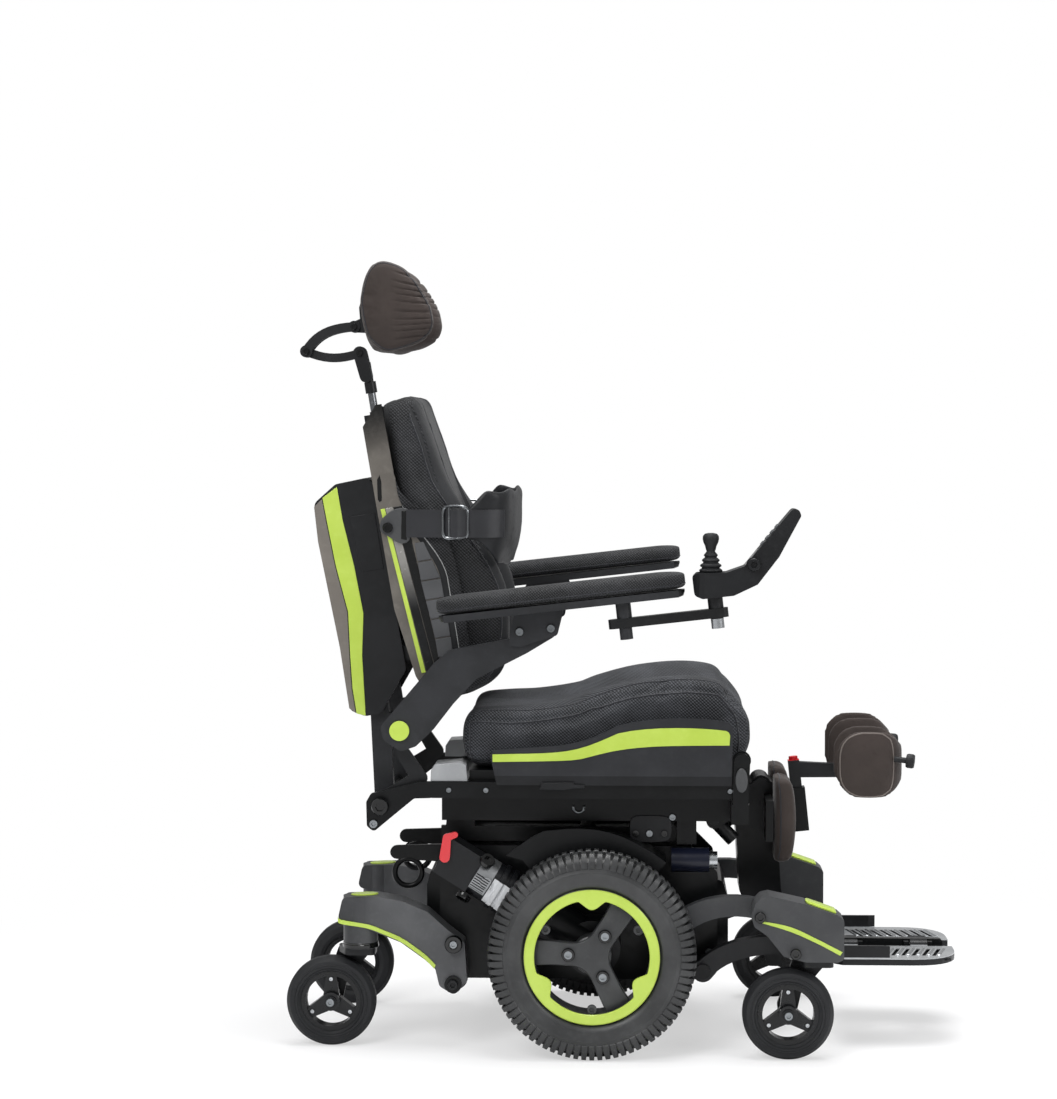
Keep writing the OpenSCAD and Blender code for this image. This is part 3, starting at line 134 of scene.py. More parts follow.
class Recipe:
    """Node tree of one material."""

    def __init__(self, name: str) -> None:
        """Start an empty tree with a Principled shader on its output."""
        self.material = bpy.data.materials.new(name)
        self.material.use_nodes = True
        self.tree = self.material.node_tree
        self.tree.nodes.clear()
        out = self.tree.nodes.new("ShaderNodeOutputMaterial")
        self.shader = self.tree.nodes.new("ShaderNodeBsdfPrincipled")
        self.tree.links.new(self.shader.outputs[0], out.inputs["Surface"])

    def node(self, kind: str, settings: Optional[dict] = None, sockets: Optional[dict] = None,
             output: Union[int, str] = 0) -> Signal:
        """Add a node.

        Args:
            kind: the node's type.
            settings: properties set before its sockets.
            sockets: values or signals by socket name or number.
            output: which output to hand back.

        Returns:
            The chosen output.
        """
        made = self.tree.nodes.new(kind)
        for key, value in (settings or {}).items():
            setattr(made, key, value)
        self.feed(made, sockets or {})
        return Signal(self, made.outputs[output])

    def feed(self, node: bpy.types.Node, sockets: dict) -> None:
        """Set or link a node's inputs.

        Args:
            node: the node.
            sockets: values or signals by socket name or number.
        """
        for key, value in sockets.items():
            if isinstance(value, Signal):
                self.tree.links.new(value.socket, node.inputs[key])
            else:
                node.inputs[key].default_value = value

    def math(self, operation: str, *values: Number) -> Signal:
        """Add a Math node on these values."""
        return self.node("ShaderNodeMath", {"operation": operation}, dict(enumerate(values)))

    def blend(self, share: Number, low: Colour, high: Colour) -> Signal:
        """Mix two colours, by the share of the second that shows."""
        return self.node("ShaderNodeMix", {"data_type": "RGBA"}, {0: share, 6: low, 7: high}, 2)

    def noise(self, vector: Signal, size_mm: float, detail: float = 3.0) -> Signal:
        """Soft noise whose grains are about this many millimetres wide."""
        return self.node("ShaderNodeTexNoise", {},
                         {"Vector": vector, "Scale": 1 / (size_mm * MM), "Detail": detail})

    def ease(self, value: Signal, low: float, high: float) -> Signal:
        """Smooth step from zero at low to one at high."""
        return self.node("ShaderNodeMapRange", {"interpolation_type": "SMOOTHSTEP"},
                         {"Value": value, "From Min": low, "From Max": high})

    def coords(self) -> Coords:
        """Read the place on the piece, and two directions that lie in its surface.

        Returns:
            The coordinates, with across and along picked from the way the surface faces.
        """
        place = self.node("ShaderNodeTexCoord", {}, {}, "Object")
        facing = self.node("ShaderNodeTexCoord", {}, {}, "Normal")
        x, y, z = (self.split(place, i) * 1000 for i in range(3))
        nx, ny, nz = (abs(self.split(facing, i)) for i in range(3))
        front = nx > ny.math("MAXIMUM", nz)
        top = nz > nx.math("MAXIMUM", ny)
        across = x * (1 - front) + y * front
        along = z * (1 - top) + y * top
        return Coords(x, y, z, across, along, place)

    def split(self, vector: Signal, index: int) -> Signal:
        """One component of a vector."""
        return self.node("ShaderNodeSeparateXYZ", {}, {0: vector}, index)

    def cover(self, shader: Signal, share: Number) -> None:
        """Show another shader over the Principled one.

        Args:
            shader: the other shader.
            share: how much of it shows.
        """
        plain = Signal(self, self.shader.outputs[0])
        both = self.node("ShaderNodeMixShader", {}, {0: share, 1: plain, 2: shader})
        out = next(n for n in self.tree.nodes if n.type == "OUTPUT_MATERIAL")
        self.tree.links.new(both.socket, out.inputs["Surface"])

    def dress(self, sockets: dict) -> bpy.types.Material:
        """Set or link the shader's sockets.

        Args:
            sockets: values or signals by socket name.

        Returns:
            The finished material.
        """
        self.feed(self.shader, sockets)
        return self.material


class Surface(Enum):
    """Ways in which a surface is textured."""

    GRAIN = "grain"
    SATIN = "satin"
    RUBBER = "rubber"
    SPACER = "spacer"
    KNIT = "knit"
    WEBBING = "webbing"
    HIDE = "hide"
    BRUSHED = "brushed"


@dataclass(frozen=True)
class Coat:
    """One coat of a finish.

    Attributes:
        colour: main colour, in hex.
        tint: colour that it varies towards, in hex.
        rough: roughness.
        metal: share of bare metal.
    """

    colour: str
    tint: str
    rough: float
    metal: float = 0.0


Zone = tuple[Callable[[Coords], Signal], Coat]


@dataclass(frozen=True)
class Finish:
    """A finish with a texture, and zones where another coat covers the first.

    Attributes:
        name: the material's name.
        coat: the coat all over.
        surface: how it is textured.
        pitch_mm: size of the texture.
        relief_mm: height of the texture.
        sheen: cloth sheen.
        clear: clear coat.
        shine: strength of its plain reflection.
        zones: where other coats show.
    """

    name: str
    coat: Coat
    surface: Surface
    pitch_mm: float = 1.4
    relief_mm: float = 0.06
    sheen: float = 0.0
    clear: float = 0.0
    shine: float = 0.28
    zones: tuple[Zone, ...] = ()

    def relief(self, recipe: Recipe, at: Coords) -> Signal:
        """Height of the texture.

        Args:
            recipe: tree that the nodes go into.
            at: place on the piece.

        Returns:
            Height from zero to one.
        """
        turn = 2 * math.pi / self.pitch_mm
        if self.surface is Surface.SPACER:
            rise = ((at.across + at.along) * turn).math("SINE")
            fall = ((at.across * 0.7 - at.along) * turn).math("SINE")
            return recipe.ease(rise * 0.6 + fall * 0.4, -0.4, 0.7)
        if self.surface is Surface.KNIT:
            return (at.across * turn).math("SINE") * (at.along * (turn * 0.8)).math("SINE") * 0.5 + 0.5
        if self.surface is Surface.WEBBING:
            twill = ((at.along + at.across) * turn).math("SINE")
            return (at.across * turn).math("SINE") * 0.25 + twill * 0.25 + 0.5
        if self.surface is Surface.HIDE:
            cells = {"Vector": at.vector, "Scale": 1 / (self.pitch_mm * MM)}
            return recipe.node("ShaderNodeTexVoronoi", {}, cells)
        if self.surface is Surface.BRUSHED:
            streak = recipe.node("ShaderNodeMapping", {}, {"Vector": at.vector, "Scale": (0.06, 1.0, 1.0)})
            return recipe.noise(streak, self.pitch_mm, 2.0)
        return recipe.noise(at.vector, self.pitch_mm, 2.0 if self.surface is Surface.SATIN else 4.0)

    def make(self) -> bpy.types.Material:
        """Build the material once and hand it back.

        Returns:
            The Blender material.
        """
        known = bpy.data.materials.get(self.name)
        if known:
            return known
        recipe = Recipe(self.name)
        at = recipe.coords()
        height = self.relief(recipe, at)
        patch = recipe.ease(recipe.noise(at.vector, 70.0, 5.0), 0.35, 0.7)
        scuff = recipe.ease(recipe.noise(at.vector, 9.0, 6.0), 0.5, 0.75)
        woven = self.surface in (Surface.SPACER, Surface.KNIT, Surface.WEBBING)
        share = height * 0.75 + patch * 0.25 if woven else patch * 0.7 + scuff * 0.3
        colour = recipe.blend(share, linear(self.coat.colour), linear(self.coat.tint))
        rough: Number = self.coat.rough + (scuff - 0.4) * 0.12
        metal: Number = self.coat.metal
        for where, coat in self.zones:
            mask = where(at)
            other = recipe.blend(share, linear(coat.colour), linear(coat.tint))
            colour = recipe.blend(mask, colour, other)
            rough = rough * (1 - mask) + mask * (coat.rough + (scuff - 0.4) * 0.1)
            metal = mask * coat.metal + (1 - mask) * metal
        bump = recipe.node("ShaderNodeBump", {},
                           {"Strength": 1.0, "Distance": self.relief_mm * MM, "Height": height})
        sockets = {"Base Color": colour, "Roughness": rough, "Metallic": metal, "Normal": bump}
        sockets["Specular IOR Level"] = self.shine
        if self.sheen:
            sockets["Sheen Weight"] = self.sheen
            sockets["Sheen Roughness"] = 0.4
        if self.clear:
            sockets["Coat Weight"] = self.clear
            sockets["Coat Roughness"] = 0.12
        return recipe.dress(sockets)


LIME = Coat("adc54c", "b9d05c", 0.38)
BLACK = Coat("121315", "1b1c1f", 0.42)
RED = Coat("b5161f", "c3242a", 0.4)
HUB = Coat("0f1011", "18191b", 0.26)
CASTER = Coat("1b1c1e", "262729", 0.62)
SILVER = Coat("b7babd", "a3a6a9", 0.3, 1.0)


def band(value: Signal, low: float, high: float) -> Signal:
    """One between two limits, else zero."""
    return (value > low) * (value < high)


def along(at: Coords, origin: Point2, heading: float) -> Signal:
    """Distance from an origin along a heading in the side view, in millimetres."""
    return (at.x - origin[0]) * math.cos(heading) + (at.z - origin[1]) * math.sin(heading)


def lengthwise(at: Coords) -> Signal:
    """Distance from the drive axle along a motor, in millimetres."""
    return along(at, AXLE, MOTOR_HEADING)


def athwart(at: Coords) -> Signal:
    """Height over a drive motor's axis, in millimetres."""
    return along(at, AXLE, MOTOR_HEADING - math.pi / 2)


def forward(at: Coords) -> Signal:
    """Distance in front of the hip, square to the leaning back, in millimetres."""
    return along(at, HIP, LEAN)


def upward(at: Coords) -> Signal:
    """Height over the hip along the leaning back, in millimetres."""
    return along(at, HIP, LEAN + math.pi / 2)


def on_wing(at: Coords) -> Signal:
    """One on the side wings of the back's shell, else zero."""
    return band(abs(at.y), 194.0, 206.0)


def wing_edge(at: Coords) -> Signal:
    """Place of the bare wing's front edge at a point's height, in millimetres."""
    return at.z.recipe.ease(upward(at), 367.0, 532.0) * -62.0 + 176.0


def from_axle(at: Coords, x: float) -> Signal:
    """Distance from a caster's axle in the side view, in millimetres."""
    ahead, up = at.x - x, at.z - 78.0
    return (ahead * ahead + up * up).math("SQRT")


class Finishes:
    """Every finish on the chair."""

    powder_black = Finish("powder_black", Coat("131416", "1d1e20", 0.46), Surface.GRAIN, 0.9, 0.05)
    frame_black = Finish("frame_black", Coat("08090a", "111213", 0.34), Surface.SATIN, 2.0, 0.03, shine=0.2)
    gloss_black = Finish("gloss_black", Coat("070808", "0f1011", 0.2), Surface.SATIN, 3.0, 0.02, clear=0.35)
    plastic_black = Finish("plastic_black", Coat("111214", "1a1b1d", 0.45), Surface.GRAIN, 0.7, 0.04)
    arm_charcoal = Finish("arm_charcoal", Coat("202123", "2c2d30", 0.48), Surface.GRAIN, 0.8, 0.05)
    link_grey = Finish("link_grey", Coat("3a3b3d", "474849", 0.5), Surface.GRAIN, 1.0, 0.06)
    # Grey of the strip along the shroud's rear edge: a painted reflection.
    shell_grey = Finish("shell_grey", Coat("6a655f", "7a756f", 0.36), Surface.SATIN, 2.0, 0.03, shine=0.4)
    tyre = Finish("tyre_rubber", Coat("242526", "3b3c3d", 0.46), Surface.RUBBER, 1.6, 0.12, shine=0.5)
    rim_black = Finish("rim_black", Coat("363738", "464748", 0.34), Surface.SATIN, 1.5, 0.03)
    lime = Finish("lime_lacquer", LIME, Surface.SATIN, 2.5, 0.02, clear=0.3)
    silver = Finish("silver_metal", SILVER, Surface.BRUSHED, 0.8, 0.02)
    steel = Finish("plain_steel", Coat("8d9194", "7c8083", 0.36, 1.0), Surface.BRUSHED, 1.2, 0.03)
    chrome = Finish("bright_chrome", Coat("d6d8da", "c3c6c9", 0.12, 1.0), Surface.SATIN, 4.0, 0.01)
    red = Finish("red_plastic", RED, Surface.GRAIN, 1.0, 0.03)
    battery = Finish("battery_case", Coat("2c3034", "373c41", 0.5), Surface.GRAIN, 1.2, 0.05)
    seat_mesh = Finish("seat_spacer_mesh", Coat("070809", "494b50", 0.8), Surface.SPACER, 5.6, 0.8, 0.05)
    back_mesh = Finish("back_spacer_mesh", Coat("060707", "38393c", 0.8), Surface.SPACER, 5.6, 0.8, 0.05)
    pad_mesh = Finish("arm_pad_mesh", Coat("070808", "36373a", 0.78), Surface.SPACER, 4.8, 0.6, 0.05)
    stretch = Finish("stretch_cloth", Coat("27221f", "433a37", 0.85), Surface.KNIT, 1.6, 0.15, sheen=0.15)
    edge_cloth = Finish("edge_cloth", Coat("15161a", "2c2d32", 0.7), Surface.KNIT, 1.4, 0.12, sheen=0.3)
    pale_cord = Finish("pale_cord", Coat("554f4b", "736b66", 0.7), Surface.KNIT, 1.4, 0.12, sheen=0.2)
    webbing = Finish("belt_webbing", Coat("0d0e10", "292a2f", 0.34), Surface.WEBBING, 1.8, 0.18, shine=0.5)
    back_face = Finish("back_front_cloth", Coat("151618", "202124", 0.6), Surface.KNIT, 1.6, 0.1, sheen=0.1)
    buckle = Finish("buckle_chrome", Coat("7d8083", "94979a", 0.2, 1.0), Surface.SATIN, 4.0, 0.01)
    head_post = Finish(
        "headrest_post_paint", Coat("141517", "1e1f22", 0.42), Surface.SATIN, 2.0, 0.03, zones=(
            (lambda at: band(upward(at), 678.0, 710.5), Coat("77797c", "8b8d90", 0.3, 1.0)),))
    hide = Finish("belt_hide", Coat("17181a", "26272a", 0.46), Surface.HIDE, 2.6, 0.12)
    motor = Finish("motor_body", BLACK, Surface.GRAIN, 1.0, 0.06, zones=(
        (lambda at: band(lengthwise(at), 209.0, 239.0) * (athwart(at) > -23.0),
         Coat("9a9c9e", "85888a", 0.4, 0.7)),
        (lambda at: band(lengthwise(at), 212.0, 238.0) * band(athwart(at), -21.0, 7.5)
         * ((athwart(at) * 1.4).math("SINE") > 0.0), BLACK),
        (lambda at: band(lengthwise(at), 174.0, 207.0) * band(athwart(at), -33.0, 14.0),
         Coat("d4d6d8", "cbcdd0", 0.4)),
        (lambda at: (at.x > 78.0) * (at.z > 290.0), Coat("0f1220", "171b2b", 0.32)),
        (lambda at: (at.x > 150.2) * (at.z > 290.0), SILVER)))
    caster_rear = Finish("rear_caster_wheel", CASTER, Surface.RUBBER, 1.4, 0.08, zones=(
        (lambda at: from_axle(at, -508.0) < 52.0, HUB),))
    caster_front = Finish("front_caster_wheel", CASTER, Surface.RUBBER, 1.4, 0.08, zones=(
        (lambda at: from_axle(at, 282.0) < 52.0, HUB),))
    soft_black = Finish("soft_black_rubber", Coat("141517", "1e1f21", 0.62), Surface.RUBBER, 0.8, 0.04)
    key_grey = Finish("key_grey", Coat("3a3c3f", "46484b", 0.5), Surface.GRAIN, 0.6, 0.03)
    cover_grey = Finish("rear_cover_grey", Coat("8f9193", "a2a4a6", 0.34), Surface.SATIN, 1.2, 0.03)
    wing_grey = Finish("wing_panel_grey", Coat("47484a", "535456", 0.7), Surface.GRAIN, 1.0, 0.12)
    panel = Finish("seat_panel", Coat("232427", "2d2e31", 0.34), Surface.GRAIN, 0.8, 0.04, zones=(
        (lambda at: at.z < 478.0, BLACK),
        (lambda at: abs(at.y) > 239.2, LIME)))
    knee_steel = Finish("knee_post_black", Coat("161719", "212225", 0.4), Surface.SATIN, 2.0, 0.03, zones=(
        (lambda at: ((at.z - 354.0) * 0.9945 - (at.x - 318.0) * 0.1045) > 127.3, RED),))
    back_metal = Finish("back_frame_paint", Coat("1a1b1d", "252629", 0.46), Surface.GRAIN, 0.9, 0.05, zones=(
        (on_wing, Coat("5e5a55", "74706a", 0.34, 0.2)),
        # Painted shade: the polished wing darkens towards its top, from 570 to 680 mm up the back.
        (lambda at: on_wing(at) * at.z.recipe.ease(upward(at), 570.0, 680.0), Coat("161616", "232322", 0.3)),
        (lambda at: on_wing(at) * (forward(at) > wing_edge(at) - 12.0) * (upward(at) < 500.0),
         Coat("1a1b1d", "242527", 0.5)),
        (lambda at: on_wing(at) * (forward(at) > wing_edge(at)), Coat("101113", "1b1c1e", 0.8)),
        (lambda at: abs(at.y) > 257.3, LIME)))
    # Metal strip of a wing: pale at the top as a painted highlight, and darkened below 320 to 430 mm up the
    # back as painted shade.
    wing_metal = Finish("wing_metal", Coat("8f8d89", "a8a6a2", 0.24, 0.5), Surface.SATIN, 2.0, 0.03, zones=(
        (lambda at: at.z.recipe.ease(upward(at), 320.0, 430.0) * -1.0 + 1.0,
         Coat("1f2021", "2e2f30", 0.24, 0.4)),))
    pale_edge = Finish("pale_edge", Coat("8b8c8c", "9b9c9c", 0.5), Surface.SATIN, 2.0, 0.02)
    swing_paint = Finish("swing_bar_paint", Coat("0f1011", "191a1b", 0.4), Surface.GRAIN, 0.9, 0.05, zones=(
        (lambda at: at.z - at.x * 0.112 < 735.0, SILVER),))
    # Rear arms: real grey lightened by a painted highlight, with painted shade darkening the rear ends behind
    # x = -405 mm.
    rear_grey = Finish("rear_arm_grey", Coat("4b4c4e", "5c5d5f", 0.44), Surface.GRAIN, 1.0, 0.06, zones=(
        (lambda at: at.x.recipe.ease(at.x, -475.0, -405.0) * -1.0 + 1.0, Coat("323335", "3f4042", 0.44)),))
    foot = Finish("footplate_metal", BLACK, Surface.BRUSHED, 1.2, 0.04, zones=(
        (lambda at: band(at.z, 150.5, 153.4), Coat("b4b6b8", "a0a3a6", 0.34, 0.6)),))


class Side(Enum):
    """Sides of the chair, as seen by its rider."""

    RIGHT = -1
    LEFT = 1

    @property
    def tag(self) -> str:
        """Word that ends the names of this side's pieces."""
        return self.name.lower()


class Solid:
    """Mesh under construction, in millimetres."""

    def __init__(self) -> None:
        """Start with no faces."""
        self.mesh = bmesh.new()

    def loft(self, rings: Sequence[Sequence[Point3]], capped: bool = True, closed: bool = True) -> Solid:
        """Skin a row of rings.

        Args:
            rings: rings with the same number of points.
            capped: close the first and last ring.
            closed: join each ring's last point to its first.

        Returns:
            This solid.
        """
        rows = [[self.mesh.verts.new(p) for p in ring] for ring in rings]
        count = len(rows[0])
        for a, b in zip(rows, rows[1:]):
            for j in range(count if closed else count - 1):
                k = (j + 1) % count
                self.mesh.faces.new((a[j], a[k], b[k], b[j]))
        if capped:
            self.mesh.faces.new(rows[0][::-1])
            self.mesh.faces.new(rows[-1])
        return self

    def slab(self, outline: Sequence[Point2], near: float, far: float) -> Solid:
        """Extrude a side-view outline across the chair."""
        return self.loft([[(x, y, z) for x, z in outline] for y in (near, far)])

    def lathe(self, profile: Sequence[Point2], centre: Point3, out: Point3, steps: int) -> Solid:
        """Turn a closed profile round an axis.

        Args:
            profile: points of radius and distance outwards.
            centre: middle of the turned piece.
            out: direction of the axis.
            steps: how many segments.

        Returns:
            This solid.
        """
        axis = Vector(out).normalized()
        first = axis.orthogonal().normalized()
        second = axis.cross(first)
        rings = []
        for i in range(steps):
            turn = 2 * math.pi * i / steps
            ray = first * math.cos(turn) + second * math.sin(turn)
            rings.append([tuple(Vector(centre) + ray * r + axis * h) for r, h in profile])
        return self.loft(rings + [rings[0]], capped=False)

    def tube(self, path: Sequence[Point3], radius: float, sides: int = 10) -> Solid:
        """Round bar along a path, with closed ends."""
        points = [Vector(p) for p in path]
        rings = []
        up = Vector((0.12, 0.31, 0.94))
        for i, p in enumerate(points):
            ahead = (points[min(i + 1, len(points) - 1)] - points[max(i - 1, 0)]).normalized()
            side = ahead.cross(up).normalized()
            rise = side.cross(ahead).normalized()
            rings.append([tuple(p + side * radius * math.cos(a) + rise * radius * math.sin(a))
                          for a in (2 * math.pi * k / sides for k in range(sides))])
        return self.loft(rings)

    def mirrored(self, side: Side) -> Solid:
        """Turn a right-hand piece into a left-hand one where the left side is meant."""
        if side is Side.LEFT:
            bmesh.ops.scale(self.mesh, vec=(1, -1, 1), verts=self.mesh.verts)
        return self

    def turned_back(self) -> Solid:
        """Move a piece from the back's own frame onto the chair."""
        move = Matrix.Translation((HIP[0], 0, HIP[1])) @ Matrix.Rotation(-LEAN, 4, "Y")
        bmesh.ops.transform(self.mesh, matrix=move, verts=self.mesh.verts)
        return self

    def build(self, name: str, finish: Finish, bevel: float = 0.0, levels: int = 0,
              sharp: float = 35.0) -> bpy.types.Object:
        """Turn the solid into an object.

        Args:
            name: the object's name.
            finish: its finish.
            bevel: width of rounded edges in millimetres.
            levels: levels of subdivision.
            sharp: angle above which an edge stays crisp, in degrees.

        Returns:
            The new object, in metres.
        """
        bmesh.ops.remove_doubles(self.mesh, verts=self.mesh.verts, dist=0.01)
        bmesh.ops.recalc_face_normals(self.mesh, faces=self.mesh.faces)
        bmesh.ops.scale(self.mesh, vec=(MM, MM, MM), verts=self.mesh.verts)
        mesh = bpy.data.meshes.new(name)
        self.mesh.to_mesh(mesh)
        self.mesh.free()
        piece = bpy.data.objects.new(name, mesh)
        bpy.context.scene.collection.objects.link(piece)
        mesh.materials.append(finish.make())
        if bevel:
            edge = piece.modifiers.new("edges", "BEVEL")
            edge.width = bevel * MM
            edge.segments = 2
            edge.limit_method = "ANGLE"
            edge.angle_limit = math.radians(sharp)
        if levels:
            soft = piece.modifiers.new("soft", "SUBSURF")
            soft.levels = soft.render_levels = levels
        smooth(piece, sharp)
        return piece


def smooth(piece: bpy.types.Object, sharp: float) -> None:
    """Shade a piece smooth apart from edges sharper than an angle in degrees."""
    piece.data.shade_smooth()
    piece.data.set_sharp_from_angle(angle=math.radians(sharp))


def baked(piece: bpy.types.Object) -> bpy.types.Object:
    """Turn a piece and its modifiers into a plain mesh.

    Args:
        piece: object with modifiers.

    Returns:
        The same object.
    """
    view = bpy.context.evaluated_depsgraph_get()
    mesh = bpy.data.meshes.new_from_object(piece.evaluated_get(view))
    old = piece.data
    piece.modifiers.clear()
    piece.data = mesh
    bpy.data.meshes.remove(old)
    return piece


def settle(piece: bpy.types.Object, body: str, slot: str, *nodes: str) -> bpy.types.Object:
    """Hang a piece on its body and hide the solids that it replaces.

    Args:
        piece: the piece.
        body: body that it rides on.
        slot: the record's material slot; not used.
        nodes: solids that it replaces.

    Returns:
        The same piece.
    """
    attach(piece, body)
    if nodes:
        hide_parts(*nodes)
    LOG.info("%s rides on %s", piece.name, body)
    return piece


def plate(name: str, side: Side, outline: Sequence[Point2], span: Point2, finish: Finish, body: str,
          slot: str, bevel: float = 0.0, leaning: bool = False) -> None:
    """Make a flat plate on one side of the chair.

    Args:
        name: its name without the side.
        side: which side.
        outline: its outline in the side view.
        span: its outer and inner face on the right-hand side.
        finish: its finish.
        body: body that it rides on.
        slot: the record's material slot.
        bevel: width of its rounded edges in millimetres.
        leaning: whether the outline is in the back's own frame.
    """
    solid = Solid().slab(outline, *span)
    if leaning:
        solid.turned_back()
    settle(solid.mirrored(side).build(f"{name}_{side.tag}", finish, bevel=bevel), body, slot)


def spline(points: Sequence[Sequence[float]], steps: int, closed: bool = False) -> list[tuple[float, ...]]:
    """Smooth curve through points.

    Args:
        points: points that it passes.
        steps: points made for each stretch.
        closed: join the end to the start.

    Returns:
        Points of the curve.
    """
    count = len(points)
    made = []
    for i in range(count if closed else count - 1):
        if closed:
            a, b, c, d = (points[(i + k) % count] for k in (-1, 0, 1, 2))
        else:
            a, b, c, d = points[max(i - 1, 0)], points[i], points[i + 1], points[min(i + 2, count - 1)]
        for s in range(steps):
            t = s / steps
            made.append(tuple(0.5 * (2 * q + (r - p) * t + (2 * p - 5 * q + 4 * r - u) * t * t
                                     + (3 * q - p - 3 * r + u) * t ** 3) for p, q, r, u in zip(a, b, c, d)))
    if not closed:
        made.append(tuple(points[-1]))
    return made


def ease(t: float) -> float:
    """Smooth step from zero to one."""
    u = max(0.0, min(1.0, t))
    return u * u * (3 - 2 * u)


def pillow(count: int, flat: float, tall: Optional[float] = None) -> list[Point2]:
    """Points round a rounded square of half size one.

    Args:
        count: how many points.
        flat: power of the cosine, one for a circle and less for squarer corners.
        tall: power of the sine, where it differs.

    Returns:
        The points.
    """
    made = []
    for i in range(count):
        c, s = math.cos(2 * math.pi * i / count), math.sin(2 * math.pi * i / count)
        made.append((math.copysign(abs(c) ** flat, c), math.copysign(abs(s) ** (tall or flat), s)))
    return made


def polar(radius: float, heading: float, centre: Point2 = (0.0, 0.0)) -> Point2:
    """Point at a distance and a heading in degrees from a centre."""
    turn = math.radians(heading)
    return (centre[0] + radius * math.cos(turn), centre[1] + radius * math.sin(turn))


def circle(centre: Point2, radius: float, start: float, end: float, steps: int) -> list[Point2]:
    """Points of an arc, its angles in degrees."""
    return [polar(radius, start + (end - start) * i / steps, centre) for i in range(steps + 1)]


def normals(path: Sequence[Point2]) -> list[Point2]:
    """Unit normals on the right of an open path, one for each point."""
    made = []
    for a, b in zip(list(path[:1]) + list(path[:-1]), list(path[1:]) + list(path[-1:])):
        run = math.hypot(b[0] - a[0], b[1] - a[1])
        made.append(((b[1] - a[1]) / run, -(b[0] - a[0]) / run))
    return made


def drawn_in(normal: Vector, near: float, deep: float, wide: float, reach: float = 16.0) -> Optional[Vector]:
    """Step that draws a skin in beside a seam.

    Args:
        normal: the skin's normal.
        near: distance from the seam.
        deep: depth at the seam.
        wide: width of the hollow.
        reach: distance at which the hollow ends.

    Returns:
        The step, or nothing where the skin stays.
    """
    return normal * -deep * math.exp(-(near / wide) ** 2) if near < reach else None


@dataclass(frozen=True)
class Spot:
    """Where one repeated piece sits.

    Attributes:
        place: its foot, in millimetres.
        out: direction that it points.
        ahead: direction of its own X axis.
    """

    place: Point3
    out: Point3
    ahead: Point3 = (1.0, 0.0, 0.0)


def facing(side: Side, reach: float, *places: Point2) -> list[Spot]:
    """Spots that face out of one side of the chair.

    Args:
        side: which side.
        reach: distance from the middle plane.
        places: where they sit in the side view.

    Returns:
        One spot for each place.
    """
    return [Spot((x, side.value * reach, z), (0, side.value, 0)) for x, z in places]


class NodeTool:
    """Geometry Nodes tree that turns a bare mesh into a painted piece."""

    def __init__(self, name: str, inputs: dict[str, str]) -> None:
        """Start a tree whose last steps realize and paint what it makes.

        Args:
            name: the tree's name.
            inputs: kinds of its inputs by name, apart from the bare mesh and the paint.
        """
        self.tree = bpy.data.node_groups.new(name, "GeometryNodeTree")
        face = self.tree.interface
        kinds = {"Bare": "Geometry", **inputs, "Paint": "Material"}
        self.keys = {key: face.new_socket(key, in_out="INPUT", socket_type=f"NodeSocket{kind}").identifier
                     for key, kind in kinds.items()}
        face.new_socket("Pieces", in_out="OUTPUT", socket_type="NodeSocketGeometry")
        add, link = self.tree.nodes.new, self.tree.links.new
        self.given, done = add("NodeGroupInput"), add("NodeGroupOutput")
        self.real, dress = add("GeometryNodeRealizeInstances"), add("GeometryNodeSetMaterial")
        link(self.real.outputs[0], dress.inputs["Geometry"])
        link(self.given.outputs["Paint"], dress.inputs["Material"])
        link(dress.outputs[0], done.inputs[0])

    def run(self, name: str, mesh: bpy.types.Mesh, finish: Finish, inputs: dict) -> bpy.types.Object:
        """Make a plain piece from a bare mesh.

        Args:
            name: the new object's name.
            mesh: the bare mesh.
            finish: the piece's finish.
            inputs: values by input name.

        Returns:
            The new object.
        """
        piece = bpy.data.objects.new(name, mesh)
        bpy.context.scene.collection.objects.link(piece)
        tool = piece.modifiers.new(self.tree.name, "NODES")
        tool.node_group = self.tree
        for key, value in {**inputs, "Paint": finish.make()}.items():
            tool[self.keys[key]] = value
        return baked(piece)


